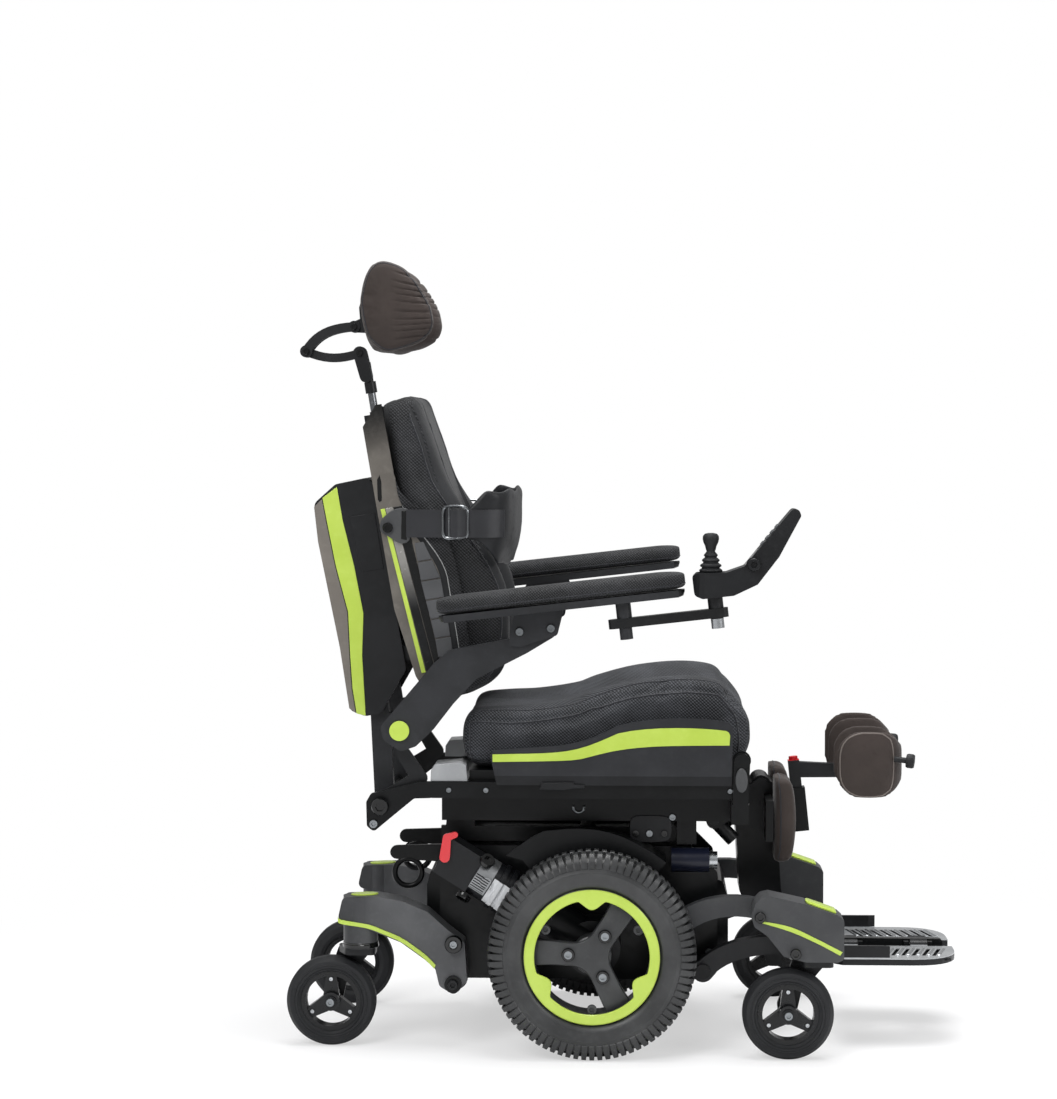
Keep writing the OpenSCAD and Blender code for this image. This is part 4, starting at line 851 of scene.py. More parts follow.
class Repeats(NodeTool):
    """Tool that sets one template on many spots."""

    def __init__(self) -> None:
        """Build the tree."""
        super().__init__("repeats", {"Template": "Object", "Size": "Float"})
        add, link, given = self.tree.nodes.new, self.tree.links.new, self.given
        info, place = add("GeometryNodeObjectInfo"), add("GeometryNodeInstanceOnPoints")
        out, ahead = add("GeometryNodeInputNamedAttribute"), add("GeometryNodeInputNamedAttribute")
        for node, name in ((out, "out"), (ahead, "ahead")):
            node.data_type = "FLOAT_VECTOR"
            node.inputs["Name"].default_value = name
        rise, turn = add("FunctionNodeAlignRotationToVector"), add("FunctionNodeAlignRotationToVector")
        rise.axis, turn.axis, turn.pivot_axis = "Z", "X", "Z"
        link(out.outputs["Attribute"], rise.inputs["Vector"])
        link(rise.outputs[0], turn.inputs["Rotation"])
        link(ahead.outputs["Attribute"], turn.inputs["Vector"])
        link(given.outputs["Bare"], place.inputs["Points"])
        link(given.outputs["Template"], info.inputs["Object"])
        link(info.outputs["Geometry"], place.inputs["Instance"])
        link(turn.outputs[0], place.inputs["Rotation"])
        link(given.outputs["Size"], place.inputs["Scale"])
        link(place.outputs[0], self.real.inputs[0])

    def set_out(self, name: str, template: bpy.types.Object, spots: Sequence[Spot], finish: Finish,
                size: float = 1.0) -> bpy.types.Object:
        """Place a template on every spot and make one plain mesh of them.

        Args:
            name: the new object's name.
            template: the repeated piece, about the origin.
            spots: where it goes.
            finish: its finish.
            size: scale of the template.

        Returns:
            One object with all the copies.
        """
        mesh = bpy.data.meshes.new(name)
        mesh.from_pydata([tuple(c * MM for c in s.place) for s in spots], [], [])
        for key in ("out", "ahead"):
            layer = mesh.attributes.new(key, "FLOAT_VECTOR", "POINT")
            for i, s in enumerate(spots):
                layer.data[i].vector = getattr(s, key)
        piece = self.run(name, mesh, finish, {"Template": template, "Size": size})
        smooth(piece, 35.0)
        return piece


class Piping(NodeTool):
    """Tool that runs a round cord along a path."""

    def __init__(self) -> None:
        """Build the tree."""
        super().__init__("piping", {"Radius": "Float"})
        add, link, given = self.tree.nodes.new, self.tree.links.new, self.given
        curve, ring = add("GeometryNodeMeshToCurve"), add("GeometryNodeCurvePrimitiveCircle")
        skin = add("GeometryNodeCurveToMesh")
        ring.inputs["Resolution"].default_value = 8
        skin.inputs["Fill Caps"].default_value = True
        link(given.outputs["Bare"], curve.inputs["Mesh"])
        link(given.outputs["Radius"], ring.inputs["Radius"])
        link(curve.outputs[0], skin.inputs["Curve"])
        link(ring.outputs[0], skin.inputs["Profile Curve"])
        link(skin.outputs[0], self.real.inputs[0])

    def lay(self, name: str, paths: Sequence[Sequence[Point3]], radius: float, finish: Finish,
            on: bpy.types.Object, sunk: float, closed: bool) -> bpy.types.Object:
        """Lay cords along paths.

        Args:
            name: the new object's name.
            paths: points of each path, in millimetres.
            radius: the cord's radius in millimetres.
            finish: its finish.
            on: piece whose skin the cord is pressed onto.
            sunk: how far the cord's middle lies under that skin.
            closed: join each path's end to its start.

        Returns:
            One object with all the cords.
        """
        tree = BVHTree.FromObject(on, bpy.context.evaluated_depsgraph_get())
        points: list[Vector] = []
        edges: list[tuple[int, int]] = []
        for path in paths:
            first = len(points)
            for p in path:
                near, out, _, _ = tree.find_nearest(Vector(p) * MM)
                points.append(near - out * sunk * MM)
            edges += [(i, i + 1) for i in range(first, len(points) - 1)]
            if closed:
                edges.append((len(points) - 1, first))
        mesh = bpy.data.meshes.new(name)
        mesh.from_pydata(points, edges, [])
        piece = self.run(name, mesh, finish, {"Radius": radius * MM})
        piece.data.shade_smooth()
        return piece


@dataclass
class Stuffing:
    """How a padded piece is blown up from its cut shape.

    Attributes:
        voxel: size of the skin's cells in millimetres.
        pressure: air pressure inside the cloth.
        cap: furthest that a point moves, in millimetres.
        frames: steps of the simulation.
    """

    voxel: float = 5.0
    pressure: float = 4.0
    cap: float = 6.0
    frames: int = 20

    def fill(self, piece: bpy.types.Object, held: Callable[[Vector], float]) -> bpy.types.Object:
        """Remesh a piece, blow it up as cloth and make the result its mesh.

        Args:
            piece: closed mesh in metres.
            held: how firmly a point in millimetres is held, from zero to one.

        Returns:
            The same piece.
        """
        skin = piece.modifiers.new("skin", "REMESH")
        skin.mode = "VOXEL"
        skin.voxel_size = self.voxel * MM
        baked(piece)
        start = [v.co.copy() for v in piece.data.vertices]
        group = piece.vertex_groups.new(name="held")
        for v in piece.data.vertices:
            group.add([v.index], held(v.co / MM), "REPLACE")
        cloth = piece.modifiers.new("cloth", "CLOTH")
        cloth.settings.use_pressure = True
        cloth.settings.uniform_pressure_force = self.pressure
        cloth.settings.effector_weights.gravity = 0
        cloth.settings.vertex_group_mass = "held"
        cloth.settings.quality = 4
        cloth.collision_settings.use_collision = False
        cloth.point_cache.frame_start, cloth.point_cache.frame_end = 1, self.frames
        for frame in range(1, self.frames + 1):
            bpy.context.scene.frame_set(frame)
        baked(piece)
        bpy.context.scene.frame_set(1)
        piece.vertex_groups.clear()
        for v, old in zip(piece.data.vertices, start):
            step = v.co - old
            if step.length > self.cap * MM:
                v.co = old + step.normalized() * self.cap * MM
        soft = piece.modifiers.new("soft", "SUBSURF")
        soft.levels = soft.render_levels = 1
        baked(piece)
        piece.data.shade_smooth()
        return piece


def sculpt(piece: bpy.types.Object, move: Callable[[Vector, Vector], Optional[Vector]]) -> None:
    """Move a piece's points.

    Args:
        piece: the piece.
        move: takes a point in millimetres and its normal, and gives the step or nothing.
    """
    steps = [move(v.co / MM, v.normal) for v in piece.data.vertices]
    for v, step in zip(piece.data.vertices, steps):
        if step is not None:
            v.co += step * MM
    piece.data.update()


@dataclass
class Seat:
    """Seat cushion and its seams.

    Attributes:
        width: width of the cushion.
        base: height of the seat pan.
        stations: place, underside, crest, half width lost and channel depth.
    """

    width: float = 424.0
    base: float = 484.4
    stations: tuple[tuple[float, ...], ...] = (
        (-279, 530, 556, 26, 0), (-276, 506, 570, 12, 0), (-268, 492, 580, 7, 8), (-250, 484.4, 587, 4, 14),
        (-205, 484.4, 591, 4, 20), (-155, 484.4, 594, 4, 24), (-88, 484.4, 605, 4, 28),
        (-48, 484.4, 619, 4, 32), (23, 484.4, 638, 4, 36), (101, 484.4, 646, 4, 38),
        (161, 484.4, 640, 4, 34), (184, 486.4, 622, 6, 26), (203, 494.4, 602, 10, 16),
        (215, 508.4, 585, 16, 6), (221, 528.4, 569, 24, 0))

    def rings(self) -> list[list[Point3]]:
        """Cross-sections of the cushion from rear to front."""
        made = []
        for x, low, crest, lost, channel in spline(self.stations, 4):
            mid, half = (low + crest) / 2, self.width / 2 - lost
            ring = []
            for c, s in pillow(96, 0.3):
                y = half * c
                dip = channel * s * math.exp(-(y / 120) ** 4)
                ring.append((x, y, mid + ((mid - low) * s if s < 0 else (crest - mid) * s - dip)))
            made.append(ring)
        return made

    def seam(self, side: Side, drop: float, inset: float = 0.0) -> list[Point3]:
        """Path of a seam along one side.

        Args:
            side: which side.
            drop: how far it lies under the crest.
            inset: how far it lies in from the side.

        Returns:
            Points of the seam.
        """
        y = side.value * (self.width / 2 - inset)
        return [(x, y, crest - drop) for x, _, crest, _, _ in spline(self.stations[3:12], 8)]

    def build(self, tools: Tools) -> None:
        """Make the cushion with its side seams."""
        piece = Solid().loft(self.rings()).build("seat_cushion_cover", Finishes.seat_mesh)
        Stuffing(cap=4.0).fill(piece, lambda p: 1.0 if p.z < self.base + 2 else 0.0)
        rolls = [self.loop(side) for side in Side]

        def groove(p: Vector, n: Vector) -> Optional[Vector]:
            """Draw the skin in along the seams."""
            if abs(p.y) <= self.width / 2 - 30:
                return None
            near = min(abs(p.z - z) + 0.2 * abs(p.x - x) for path in rolls for x, y, z in path if y * p.y > 0)
            return drawn_in(n, near, 2.2, 5.0)

        sculpt(piece, groove)
        settle(piece, "seat", "seat_fabric", "seat_cushion")
        tools.cord("seat_cushion_piping", "seat", "seat_fabric", rolls, 1.7, piece)
        upper = [self.seam(side, 2.0, 22.0) for side in Side]
        tools.cord("seat_cushion_welt", "seat", "seat_fabric", upper, 1.4, piece)

    def loop(self, side: Side) -> list[Point3]:
        """Seam round the side panel of the cushion, from its rear foot to its front foot."""
        y = side.value * self.width / 2
        rear = [(-268, y, 498), (-268, y, 548), (-262, y, 570)]
        top = self.seam(side, 21.0)[10:-6]
        front = [(190, y, 590), (200, y, 572), (205, y, 545), (203, y, 515)]
        return spline(rear + top[::4] + front, 4)


@dataclass
class DriveWheels:
    """Tyres and rims of the two drive wheels.

    Attributes:
        axle: middle of the axle in the side view.
        offset: distance of a wheel's middle plane from the chair's.
        lugs: lugs round one shoulder.
        arms: headings of the spider's arms, in degrees.
        lobes: headings of the trim ring's lobes, in degrees.
    """

    axle: Point2 = AXLE
    offset: float = 280.0
    lugs: int = 80
    arms: tuple[float, ...] = (57.0, 177.0, 297.0)
    lobes: tuple[float, ...] = (90.0, 210.0, 330.0)

    def centre(self, side: Side) -> Point3:
        """Middle of a wheel."""
        return (self.axle[0], side.value * self.offset, self.axle[1])

    def lug(self) -> bpy.types.Object:
        """One tread lug that wraps over the tyre's shoulder, drawn about the wheel's middle."""
        edge = ((2, 167), (2, 176.4), (4, 178), (23, 178), (30, 174.8), (35, 168.5), (37.6, 160), (38, 152.5),
                (36, 150), (34, 158), (27, 166))
        rings = [[(x * (1.0 if z < 172 else 0.84), y, z) for y, z in edge] for x in (-4.7, 4.7)]
        return Solid().loft(rings).build("lug_template", Finishes.tyre, sharp=30.0)

    def tyre(self, tools: Tools, side: Side, lug: bpy.types.Object) -> None:
        """Make the carcass with its thin ring and set the lugs on it."""
        outer = [(117.5, 30), (122, 35), (130, 37.4), (142, 37.8), (143.4, 38.4), (145, 38.4), (146.4, 37.6),
                 (151, 36.6), (158, 34.5), (164.5, 30), (169, 22), (171.2, 10)]
        profile = outer + [(171.8, 0)] + [(r, -y) for r, y in reversed(outer)] + [(114, -20), (114, 20)]
        centre = self.centre(side)
        piece = Solid().lathe(profile, centre, (0, side.value, 0), 128).build(
            f"drive_tyre_carcass_{side.tag}", Finishes.tyre)
        settle(piece, f"drive_wheel_{side.tag}", "tyre", f"drive_tyre_{side.tag}")
        spots = []
        for row in (1, -1):
            for i in range(self.lugs):
                turn = 2 * math.pi * (i + (0.5 if row < 0 else 0.0)) / self.lugs
                out = (math.cos(turn), 0.0, math.sin(turn))
                spots.append(Spot(centre, out, (-row * math.sin(turn), 0.0, row * math.cos(turn))))
        piece = tools.repeats.set_out(f"drive_tyre_lugs_{side.tag}", lug, spots, Finishes.tyre)
        settle(piece, f"drive_wheel_{side.tag}", "tyre")

    def spider(self) -> list[Point2]:
        """Outline of the three-armed spider, with wide fillets between its arms."""
        reach, wide, gap, round_r = 100.0, 20.0, 74.6, 44.6
        made: list[Point2] = []
        for a in self.arms:
            turn = math.radians(a)
            along, side = (math.cos(turn), math.sin(turn)), (-math.sin(turn), math.cos(turn))
            for u, v in ((reach, -wide - 3), (reach + 3, 0), (reach, wide + 3), (72, wide)):
                made.append((along[0] * u + side[0] * v, along[1] * u + side[1] * v))
            hollow = a + 60
            made += circle(polar(gap, hollow), round_r, hollow + 210, hollow + 150, 10)
        return made

    def rim(self, tools: Tools, side: Side) -> None:
        """Make the barrel, the spider with its bolts and the trim ring."""
        centre, out = self.centre(side), side.value
        body = f"drive_wheel_{side.tag}"
        barrel = [(99, -30), (117, -30), (117, 29), (112, 31.5), (103, 31.5), (99, 29)]
        hub = [(0, -26), (33, -26), (33, 12), (26, 16), (0, 17)]
        solid = Solid().lathe(barrel, centre, (0, out, 0), 96).lathe(hub, centre, (0, out, 0), 48)
        outline = self.spider()
        solid.loft([[(centre[0] + x * s, centre[1] + out * y, centre[2] + z * s) for x, z in outline]
                    for y, s in ((2.0, 1.0), (12.0, 1.0), (16.0, 0.965), (17.5, 0.9))])
        piece = solid.build(f"drive_rim_{side.tag}_wheel", Finishes.rim_black, bevel=0.8)
        settle(piece, body, "rim", f"drive_rim_{side.tag}")
        rings = []
        for i in range(240):
            heading = 1.5 * i
            dip = max(max(0.0, 1 - ((heading - lobe + 180) % 360 - 180) ** 2 / 14.0 ** 2) ** 1.25
                      for lobe in self.lobes)
            (ix, iz), (ox, oz) = polar(98.0 - 17.0 * dip, heading), polar(115.5, heading)
            section = ((ix, 31.0, iz), (ix, 34.2, iz), (ix * 1.012, 35.4, iz * 1.012),
                       (ox * 0.985, 35.4, oz * 0.985), (ox, 34.0, oz), (ox, 31.0, oz))
            rings.append([(centre[0] + x, centre[1] + out * y, centre[2] + z) for x, y, z in section])
        ring = Solid().loft(rings + [rings[0]], capped=False)
        settle(ring.build(f"drive_trim_ring_{side.tag}", Finishes.lime), body, "rim")
        for name, radius, reach, rise, headings, finish, slot in (
                ("spider_washers", 11.5, 40.5, 17.4, self.arms, Finishes.gloss_black, "rim"),
                ("spider_screws", 7.5, 40.5, 20.6, self.arms, Finishes.steel, "steel"),
                ("rim_bosses", 8.5, 91.0, 20.0, (30.0, 150.0, 270.0), Finishes.rim_black, "rim")):
            spots = facing(side, self.offset + rise, *(polar(reach, a, self.axle) for a in headings))
            tools.screws(f"drive_{name}_{side.tag}", body, radius, spots, finish, slot)

    def build(self, tools: Tools) -> None:
        """Make both wheels."""
        lug = self.lug()
        for side in Side:
            self.tyre(tools, side, lug)
            self.rim(tools, side)
        bpy.data.objects.remove(lug)


@dataclass
class Casters:
    """Screws and rings of the caster wheels, and the trim of their arms and housings.

    Attributes:
        rear: middle of the rear caster wheels in the side view.
        front: middle of the front caster wheels in the side view.
        rear_y: distance of a rear swivel from the middle plane.
        front_y: distance of a front swivel from the middle plane.
    """

    rear: Point2 = (-508.0, 78.0)
    front: Point2 = (282.0, 78.0)
    rear_y: float = 185.0
    front_y: float = 275.0

    def wheel(self, tools: Tools, end: str, side: Side) -> None:
        """Dress one caster wheel and its fork."""
        middle, reach = (self.rear, self.rear_y) if end == "rear" else (self.front, self.front_y)
        wheel, fork = f"{end}_caster_{side.tag}", f"{end}_fork_{side.tag}"
        spots = facing(side, reach + 10.0, *(polar(38, heading, middle) for heading in (90, 210, 330)))
        tools.screws(f"{wheel}_screws", wheel, 3.6, spots, Finishes.silver, "steel")
        spots = facing(side, reach + 25.4, middle)
        tools.screws(f"{fork}_axle_screw", fork, 7.5, spots, Finishes.steel, "steel")
        solid = Solid()
        for radius in (56.0, 63.5):
            ring = [(radius + 0.9 * c, 20.6 + 1.1 * s) for c, s in pillow(8, 1.0)]
            solid.lathe(ring, (middle[0], side.value * reach, middle[1]), (0, side.value, 0), 72)
        settle(solid.build(f"{wheel}_rings", Finishes.caster_front), wheel, "tyre")

    def rear_trim(self, tools: Tools, side: Side) -> None:
        """Stripe, top oval, collar and pivot caps of a rear arm."""
        body = f"rear_arm_{side.tag}"
        low = spline([(-494, 222), (-488, 216), (-443, 208.5), (-414, 198), (-385, 185.5), (-362, 170),
                      (-343, 155.5), (-327, 139)], 5)
        high = [(x + 3.2 * (i / len(low)), z + 7.0 - 0.8 * i / len(low)) for i, (x, z) in enumerate(low)]
        stripe = low + high[::-1]
        plate("rear_arm_stripe", side, stripe, (-216.2, -212.0), Finishes.lime, body, "grey_metal", 0.5)
        middle, half_long, half_wide, slope = -450, 24, 15, 0.034
        rings = [[(middle + half_long * c * size, -self.rear_y + half_wide * s * size,
                   z + half_long * c * slope) for c, s in pillow(40, 1.0)]
                 for z, size in ((261.5, 1.0), (264.4, 1.0), (265.6, 0.93))]
        piece = Solid().loft(rings).mirrored(side).build(f"rear_arm_oval_{side.tag}", Finishes.lime)
        settle(piece, body, "grey_metal")
        collar = [(29.5, 172), (31.6, 173), (31.6, 178), (30.6, 179), (30.6, 181), (29.5, 182)]
        solid = Solid().lathe(collar, (-457, -self.rear_y, 0), (0, 0, 1), 48).mirrored(side)
        settle(solid.build(f"rear_arm_collar_{side.tag}", Finishes.gloss_black), body, "grey_metal")
        cap = (-293, 182)
        tools.screws(f"rear_arm_cap_{side.tag}", body, 15.5, facing(side, 213.0, cap), Finishes.gloss_black,
                     "black_plastic")
        tools.screws(f"rear_arm_cap_screw_{side.tag}", body, 7.0, facing(side, 219.0, cap), Finishes.steel,
                     "steel")
        tools.screws(f"rear_pivot_screw_{side.tag}", "base", 9.0, facing(side, 219.4, (-294, 112)),
                     Finishes.powder_black, "black_metal")

    def front_trim(self, tools: Tools, side: Side) -> None:
        """Stripe, top patch and pivot screws of a front housing."""
        body = f"front_housing_{side.tag}"
        high = spline([(228, 242.5), (283, 232), (329, 211.5), (372, 189.5)], 6)
        low = spline([(229, 240), (283, 224), (329, 204), (368, 183.5)], 6)
        stripe = high + low[::-1]
        plate("front_housing_stripe", side, stripe, (-311.8, -309.0), Finishes.lime, body, "grey_metal", 0.5)
        patch = [(-1.0, -0.75), (-0.6, -1.0), (0.8, -1.0), (1.0, -0.8), (1.0, 0.8), (0.8, 1.0), (-0.6, 1.0),
                 (-1.0, 0.75)]
        (x, z), half_long, half_wide, fall = (337, 261.5), 25, 24, 8.6
        rings = [[(x + half_long * u * s, -self.front_y + half_wide * v * s, z + rise - fall * u * s)
                  for u, v in spline(patch, 4, closed=True)]
                 for rise, s in ((0.0, 1.0), (2.2, 1.0), (3.2, 0.94))]
        piece = Solid().loft(rings).mirrored(side).build(f"front_housing_patch_{side.tag}", Finishes.lime)
        settle(piece, body, "grey_metal")
        spots = facing(side, 312.3, (233, 248), (293, 186))
        tools.screws(f"front_housing_screws_{side.tag}", body, 9.5, spots, Finishes.gloss_black,
                     "black_plastic")

    def build(self, tools: Tools) -> None:
        """Dress all four casters."""
        for side in Side:
            for end in ("rear", "front"):
                self.wheel(tools, end, side)
            self.rear_trim(tools, side)
            self.front_trim(tools, side)


@dataclass
class Back:
    """Back cushion, shell trim, shroud stripes and the chest belt.

    Attributes:
        half: half width of the cushion.
        rear: place of the cushion's rear face, in the back's own frame.
        thin: depth of the cushion behind its side edges.
        channel: distance of the hollows between the bolsters from the middle plane.
        stations: height, middle front, bolster front and half width lost.
    """

    half: float = 192.0
    rear: float = 104.4
    thin: float = 24.0
    channel: float = 98.0
    stations: tuple[tuple[float, ...], ...] = (
        (162, 150, 157, 18), (165, 176, 202, 8), (178, 197, 242, 4), (207, 207, 266, 4), (270, 213, 284, 4),
        (330, 214, 290, 4), (382, 211, 276, 4), (430, 207, 252, 4), (478, 200, 230, 4), (541, 193, 199, 4),
        (604, 183, 187, 6), (650, 174, 177, 10), (680, 169, 172, 22), (692, 159, 162, 44))

    def cushion(self, tools: Tools) -> None:
        """Make the cushion with its bolsters and side seams."""
        rings = []
        for z, middle, bolster, lost in spline(self.stations, 4):
            half, ring = self.half - lost, []
            for c, s in pillow(72, 0.5):
                y = -half * c
                front = middle + (bolster - middle) * ease((abs(y) - 60) / 100)
                x = self.rear + self.thin + (self.thin if s < 0 else front - self.rear - self.thin) * s
                ring.append((x, y, z + 0.19 * ease((z - 600) / 75) * (x - 140)))
            rings.append(ring)
        piece = Solid().loft(rings).turned_back().build("back_cushion_cover", Finishes.back_mesh)
        Stuffing(cap=4.0).fill(piece, lambda p: 1.0 if self.local(p)[0] < self.rear + 3 else 0.0)
        seams = [self.seam(side) for side in Side]

        def groove(p: Vector, n: Vector) -> Optional[Vector]:
            """Draw the skin in along the side seams and between the bolsters."""
            if abs(p.y) > self.half - 26:
                x, z = self.local(p)
                return drawn_in(n, abs(x - self.edge(z)), 2.4, 5.0)
            return drawn_in(n, abs(abs(p.y) - self.channel), 3.0, 7.0, 20.0) if n.x > 0.3 else None

        sculpt(piece, groove)
        piece.data.materials.append(Finishes.back_face.make())
        for face in piece.data.polygons:
            face.material_index = int(face.normal.x > 0.62)
        settle(piece, "back", "seat_fabric", "back_cushion")
        tools.cord("back_cushion_piping", "back", "seat_fabric", seams, 1.7, piece)
        inner = [[self.world(240.0, side.value * self.channel, z) for z in range(190, 660, 10)]
                 for side in Side]
        tools.cord("back_cushion_channels", "back", "seat_fabric", inner, 1.5, piece, 0.4)

    def local(self, p: Vector) -> Point2:
        """Place of a point in the back's own side view."""
        dx, dz = p.x - HIP[0], p.z - HIP[1]
        return (dx * math.cos(LEAN) + dz * math.sin(LEAN), dz * math.cos(LEAN) - dx * math.sin(LEAN))

    def world(self, x: float, y: float, z: float) -> Point3:
        """Point on the chair from the back's own frame."""
        return (HIP[0] + x * math.cos(LEAN) - z * math.sin(LEAN), y,
                HIP[1] + x * math.sin(LEAN) + z * math.cos(LEAN))

    def edge(self, z: float) -> float:
        """Place of the side seam at a height."""
        rows = self.stations
        for a, b in zip(rows, rows[1:]):
            if a[0] <= z <= b[0]:
                front = a[2] + (b[2] - a[2]) * (z - a[0]) / (b[0] - a[0])
                return front - 13.0
        return self.rear + 40

    def seam(self, side: Side) -> list[Point3]:
        """Path of the seam down one side."""
        return [self.world(self.edge(z), side.value * (self.half - 2), z) for z in range(176, 668, 8)]

    def trim(self) -> None:
        """Stripes of the shroud, and the strips, ribbed panel and cloth of the shell's wings, with painted
        light: a grey reflection along the shroud's rear edge, a highlight and shade on the metal strip, and
        shade in the black gap and slot plates.
        """
        stripe = [(-20, 540), (-19, 500), (-16, 418), (-8, 337), (-17, 257), (-22, 204), (-22, 159),
                  (-7, 152.5), (4, 258), (18, 330), (15.5, 414), (8.6, 496), (8, 555)]
        rear = [(-37, 527), (-40, 466), (-32.4, 277), (-33.4, 170), (-23.5, 160), (-23.5, 204), (-18.5, 257),
                (-9.5, 337), (-17.5, 418), (-20.5, 500), (-21.5, 538)]
        hatch = [(20, 500), (66, 500), (66, 402), (28, 402)]
        strip = [(80.5, 505), (88, 505), (112.5, 214), (105, 214)]
        metal = [(89, 505), (102, 505), (129, 214), (114, 214)]
        gap = [(103, 505), (121, 505), (141, 214), (130, 214)]
        bare = [(self.bare(z), z) for z in range(216, 552, 12)]
        cover = bare + [(174, 208.5), (182, 218), (194.4, 250), (195.6, 300), (196.4, 340), (193.6, 390),
                        (187.8, 430), (178, 458), (162, 484), (146, 498), (130, 512), (119, 530),
                        (114.4, 550)][::-1]
        slot = [(-424, 952), (-421, 948), (-417, 950), (-418, 984), (-421, 994), (-425, 986)]
        flats = (("shroud_stripe", stripe, (-166.6, -164.4), Finishes.lime, 0.5),
                 # Grey strip along the shroud's rear edge: a painted reflection.
                 ("shroud_edge", rear, (-166.2, -164.4), Finishes.shell_grey, 0.5),
                 ("shroud_hatch", hatch, (-166.4, -164.4), Finishes.plastic_black, 0.6),
                 ("wing_strip", strip, (-206.2, -203.6), Finishes.lime, 0.4),
                 # Metal strip with a painted highlight at the top and painted shade below.
                 ("wing_metal", metal, (-205.8, -203.6), Finishes.wing_metal, 0.5),
                 # Black plate in the gap beside the metal strip: painted shade.
                 ("wing_gap", gap, (-205.8, -203.6), Finishes.gloss_black, 0.5))
        for side in Side:
            for name, outline, span, finish, bevel in flats:
                plate(name, side, outline, span, finish, "back", "black_plastic", bevel, leaning=True)
            solid = Solid()
            for i in range(6):
                z0, z1 = 236 + i * 34.0, 236 + i * 34.0 + 32.0
                (low0, high0), (low1, high1) = self.ribs(z0), self.ribs(z1)
                solid.slab([(low0, z0), (high0, z0), (high1, z1), (low1, z1)], -207.2, -203.6)
            solid.turned_back().mirrored(side)
            piece = solid.build(f"wing_panel_{side.tag}", Finishes.wing_grey, bevel=1.2)
            settle(piece, "back", "black_plastic")
            plate("wing_cover", side, cover, (-205.4, -203.4), Finishes.back_mesh, "back", "seat_fabric",
                  leaning=True)
            solid = Solid().tube([(x, -205.2, z) for x, z in bare[:-3]], 0.9).turned_back().mirrored(side)
            settle(solid.build(f"wing_rim_{side.tag}", Finishes.pale_edge), "back", "black_plastic")
            # Black plate over the wing's slot: painted shade of the opening.
            plate("wing_slot", side, slot, (-204.8, -203.6), Finishes.gloss_black, "back", "black_plastic")

    def bare(self, z: float) -> float:
        """Front edge of the part of a wing that the cushion leaves bare, at a height."""
        return 176.0 - 62.0 * ease((z - 367.0) / 165.0)

    def ribs(self, z: float) -> Point2:
        """Rear and front end of a wing's ribs at a height."""
        return (138.0 - 9.0 * ease((z - 255.0) / 140.0), 165.0 - 21.0 * ease((z - 360.0) / 90.0))

    def belt(self, tools: Tools) -> None:
        """Chest belt: anchor plates, webbing, buckles and the padded band."""
        half = [(-268, 212.5), (-243, 212), (-219, 204), (-204, 183), (-197, 150), (-192, 105), (-188.5, 52)]
        path = spline([(x, -y) for x, y in half] + [(-187, 0)] + half[::-1], 6)
        middle = 906.0
        rings = []
        for i, ((x, y), (nx, ny)) in enumerate(zip(path, normals(path))):
            share = min(i, len(path) - 1 - i) / 9.0
            high, low = 30.0 + 32.0 * ease(share), 24.0 + 44.0 * ease(share / 2.4)
            ring = []
            for u, v in pillow(24, 0.7, 0.5):
                pleat = 5.0 + 1.2 * math.sin(v * 9.0 + 0.6 * math.sin(i * 0.5))
                z = middle + (high if v > 0 else low) * v + 3.0 * math.sin(i * 0.35)
                back = 0.2 * ease(share / 2.4) * max(0.0, middle - z)
                ring.append((x + nx * u * pleat - back, y + ny * u * pleat, z))
            rings.append(ring)
        piece = Solid().loft(rings).build("chest_band", Finishes.hide, levels=1)
        settle(piece, "back", "webbing", "chest_belt")
        row = [(-374, -213.0), (-340, -214.2), (-312, -215.2), (-302, -218.5), (-289, -221.5), (-278, -219.5),
               (-266, -218.4), (-250, -219.2), (-230, -217.0), (-214, -210.0), (-205, -202.0)]
        anchor = spline([(-420, 903), (-417, 917), (-404, 930), (-388, 937), (-370, 934), (-367, 905),
                         (-370, 881), (-386, 877), (-404, 888), (-416, 895)], 4, closed=True)
        slot = [(-383, 884), (-373, 882), (-372, 934), (-382, 933)]
        frame = spline([(-310, 892), (-304, 886.5), (-289, 885.5), (-274, 886.5), (-268, 892), (-267.5, 912),
                        (-268, 934), (-274, 940), (-289, 941.5), (-304, 940), (-310, 934), (-310.5, 912)], 4,
                       closed=True)
        for side in Side:
            rings = [[(x, y - 1.0, 887), (x, y - 1.0, 935), (x, y + 0.8, 935), (x, y + 0.8, 887)]
                     for x, y in spline(row, 4)]
            piece = Solid().loft(rings).mirrored(side).build(f"chest_strap_{side.tag}", Finishes.webbing)
            settle(piece, "back", "webbing")
            plate("chest_anchor", side, anchor, (-212.6, -204.2), Finishes.link_grey, "back",
                  "black_plastic", 1.2)
            # Black plate in the anchor's slot: painted shade of the opening.
            plate("chest_anchor_slot", side, slot, (-213.4, -211.0), Finishes.gloss_black, "back",
                  "black_plastic", 0.6)
            tools.screws(f"chest_anchor_screw_{side.tag}", "back", 9.0, facing(side, 212.6, (-406, 904)),
                         Finishes.gloss_black, "black_plastic")
            solid = Solid().tube([(x, -220.4, z) for x, z in frame + frame[:1]], 2.5)
            solid.tube([(-300, -220.2, z) for z in (887, 900, 913, 926, 939)], 2.2)
            piece = solid.mirrored(side).build(f"chest_buckle_{side.tag}", Finishes.buckle)
            settle(piece, "back", "steel")

    def build(self, tools: Tools) -> None:
        """Make the cushion, the trim and the belt."""
        self.cushion(tools)
        self.trim()
        self.belt(tools)


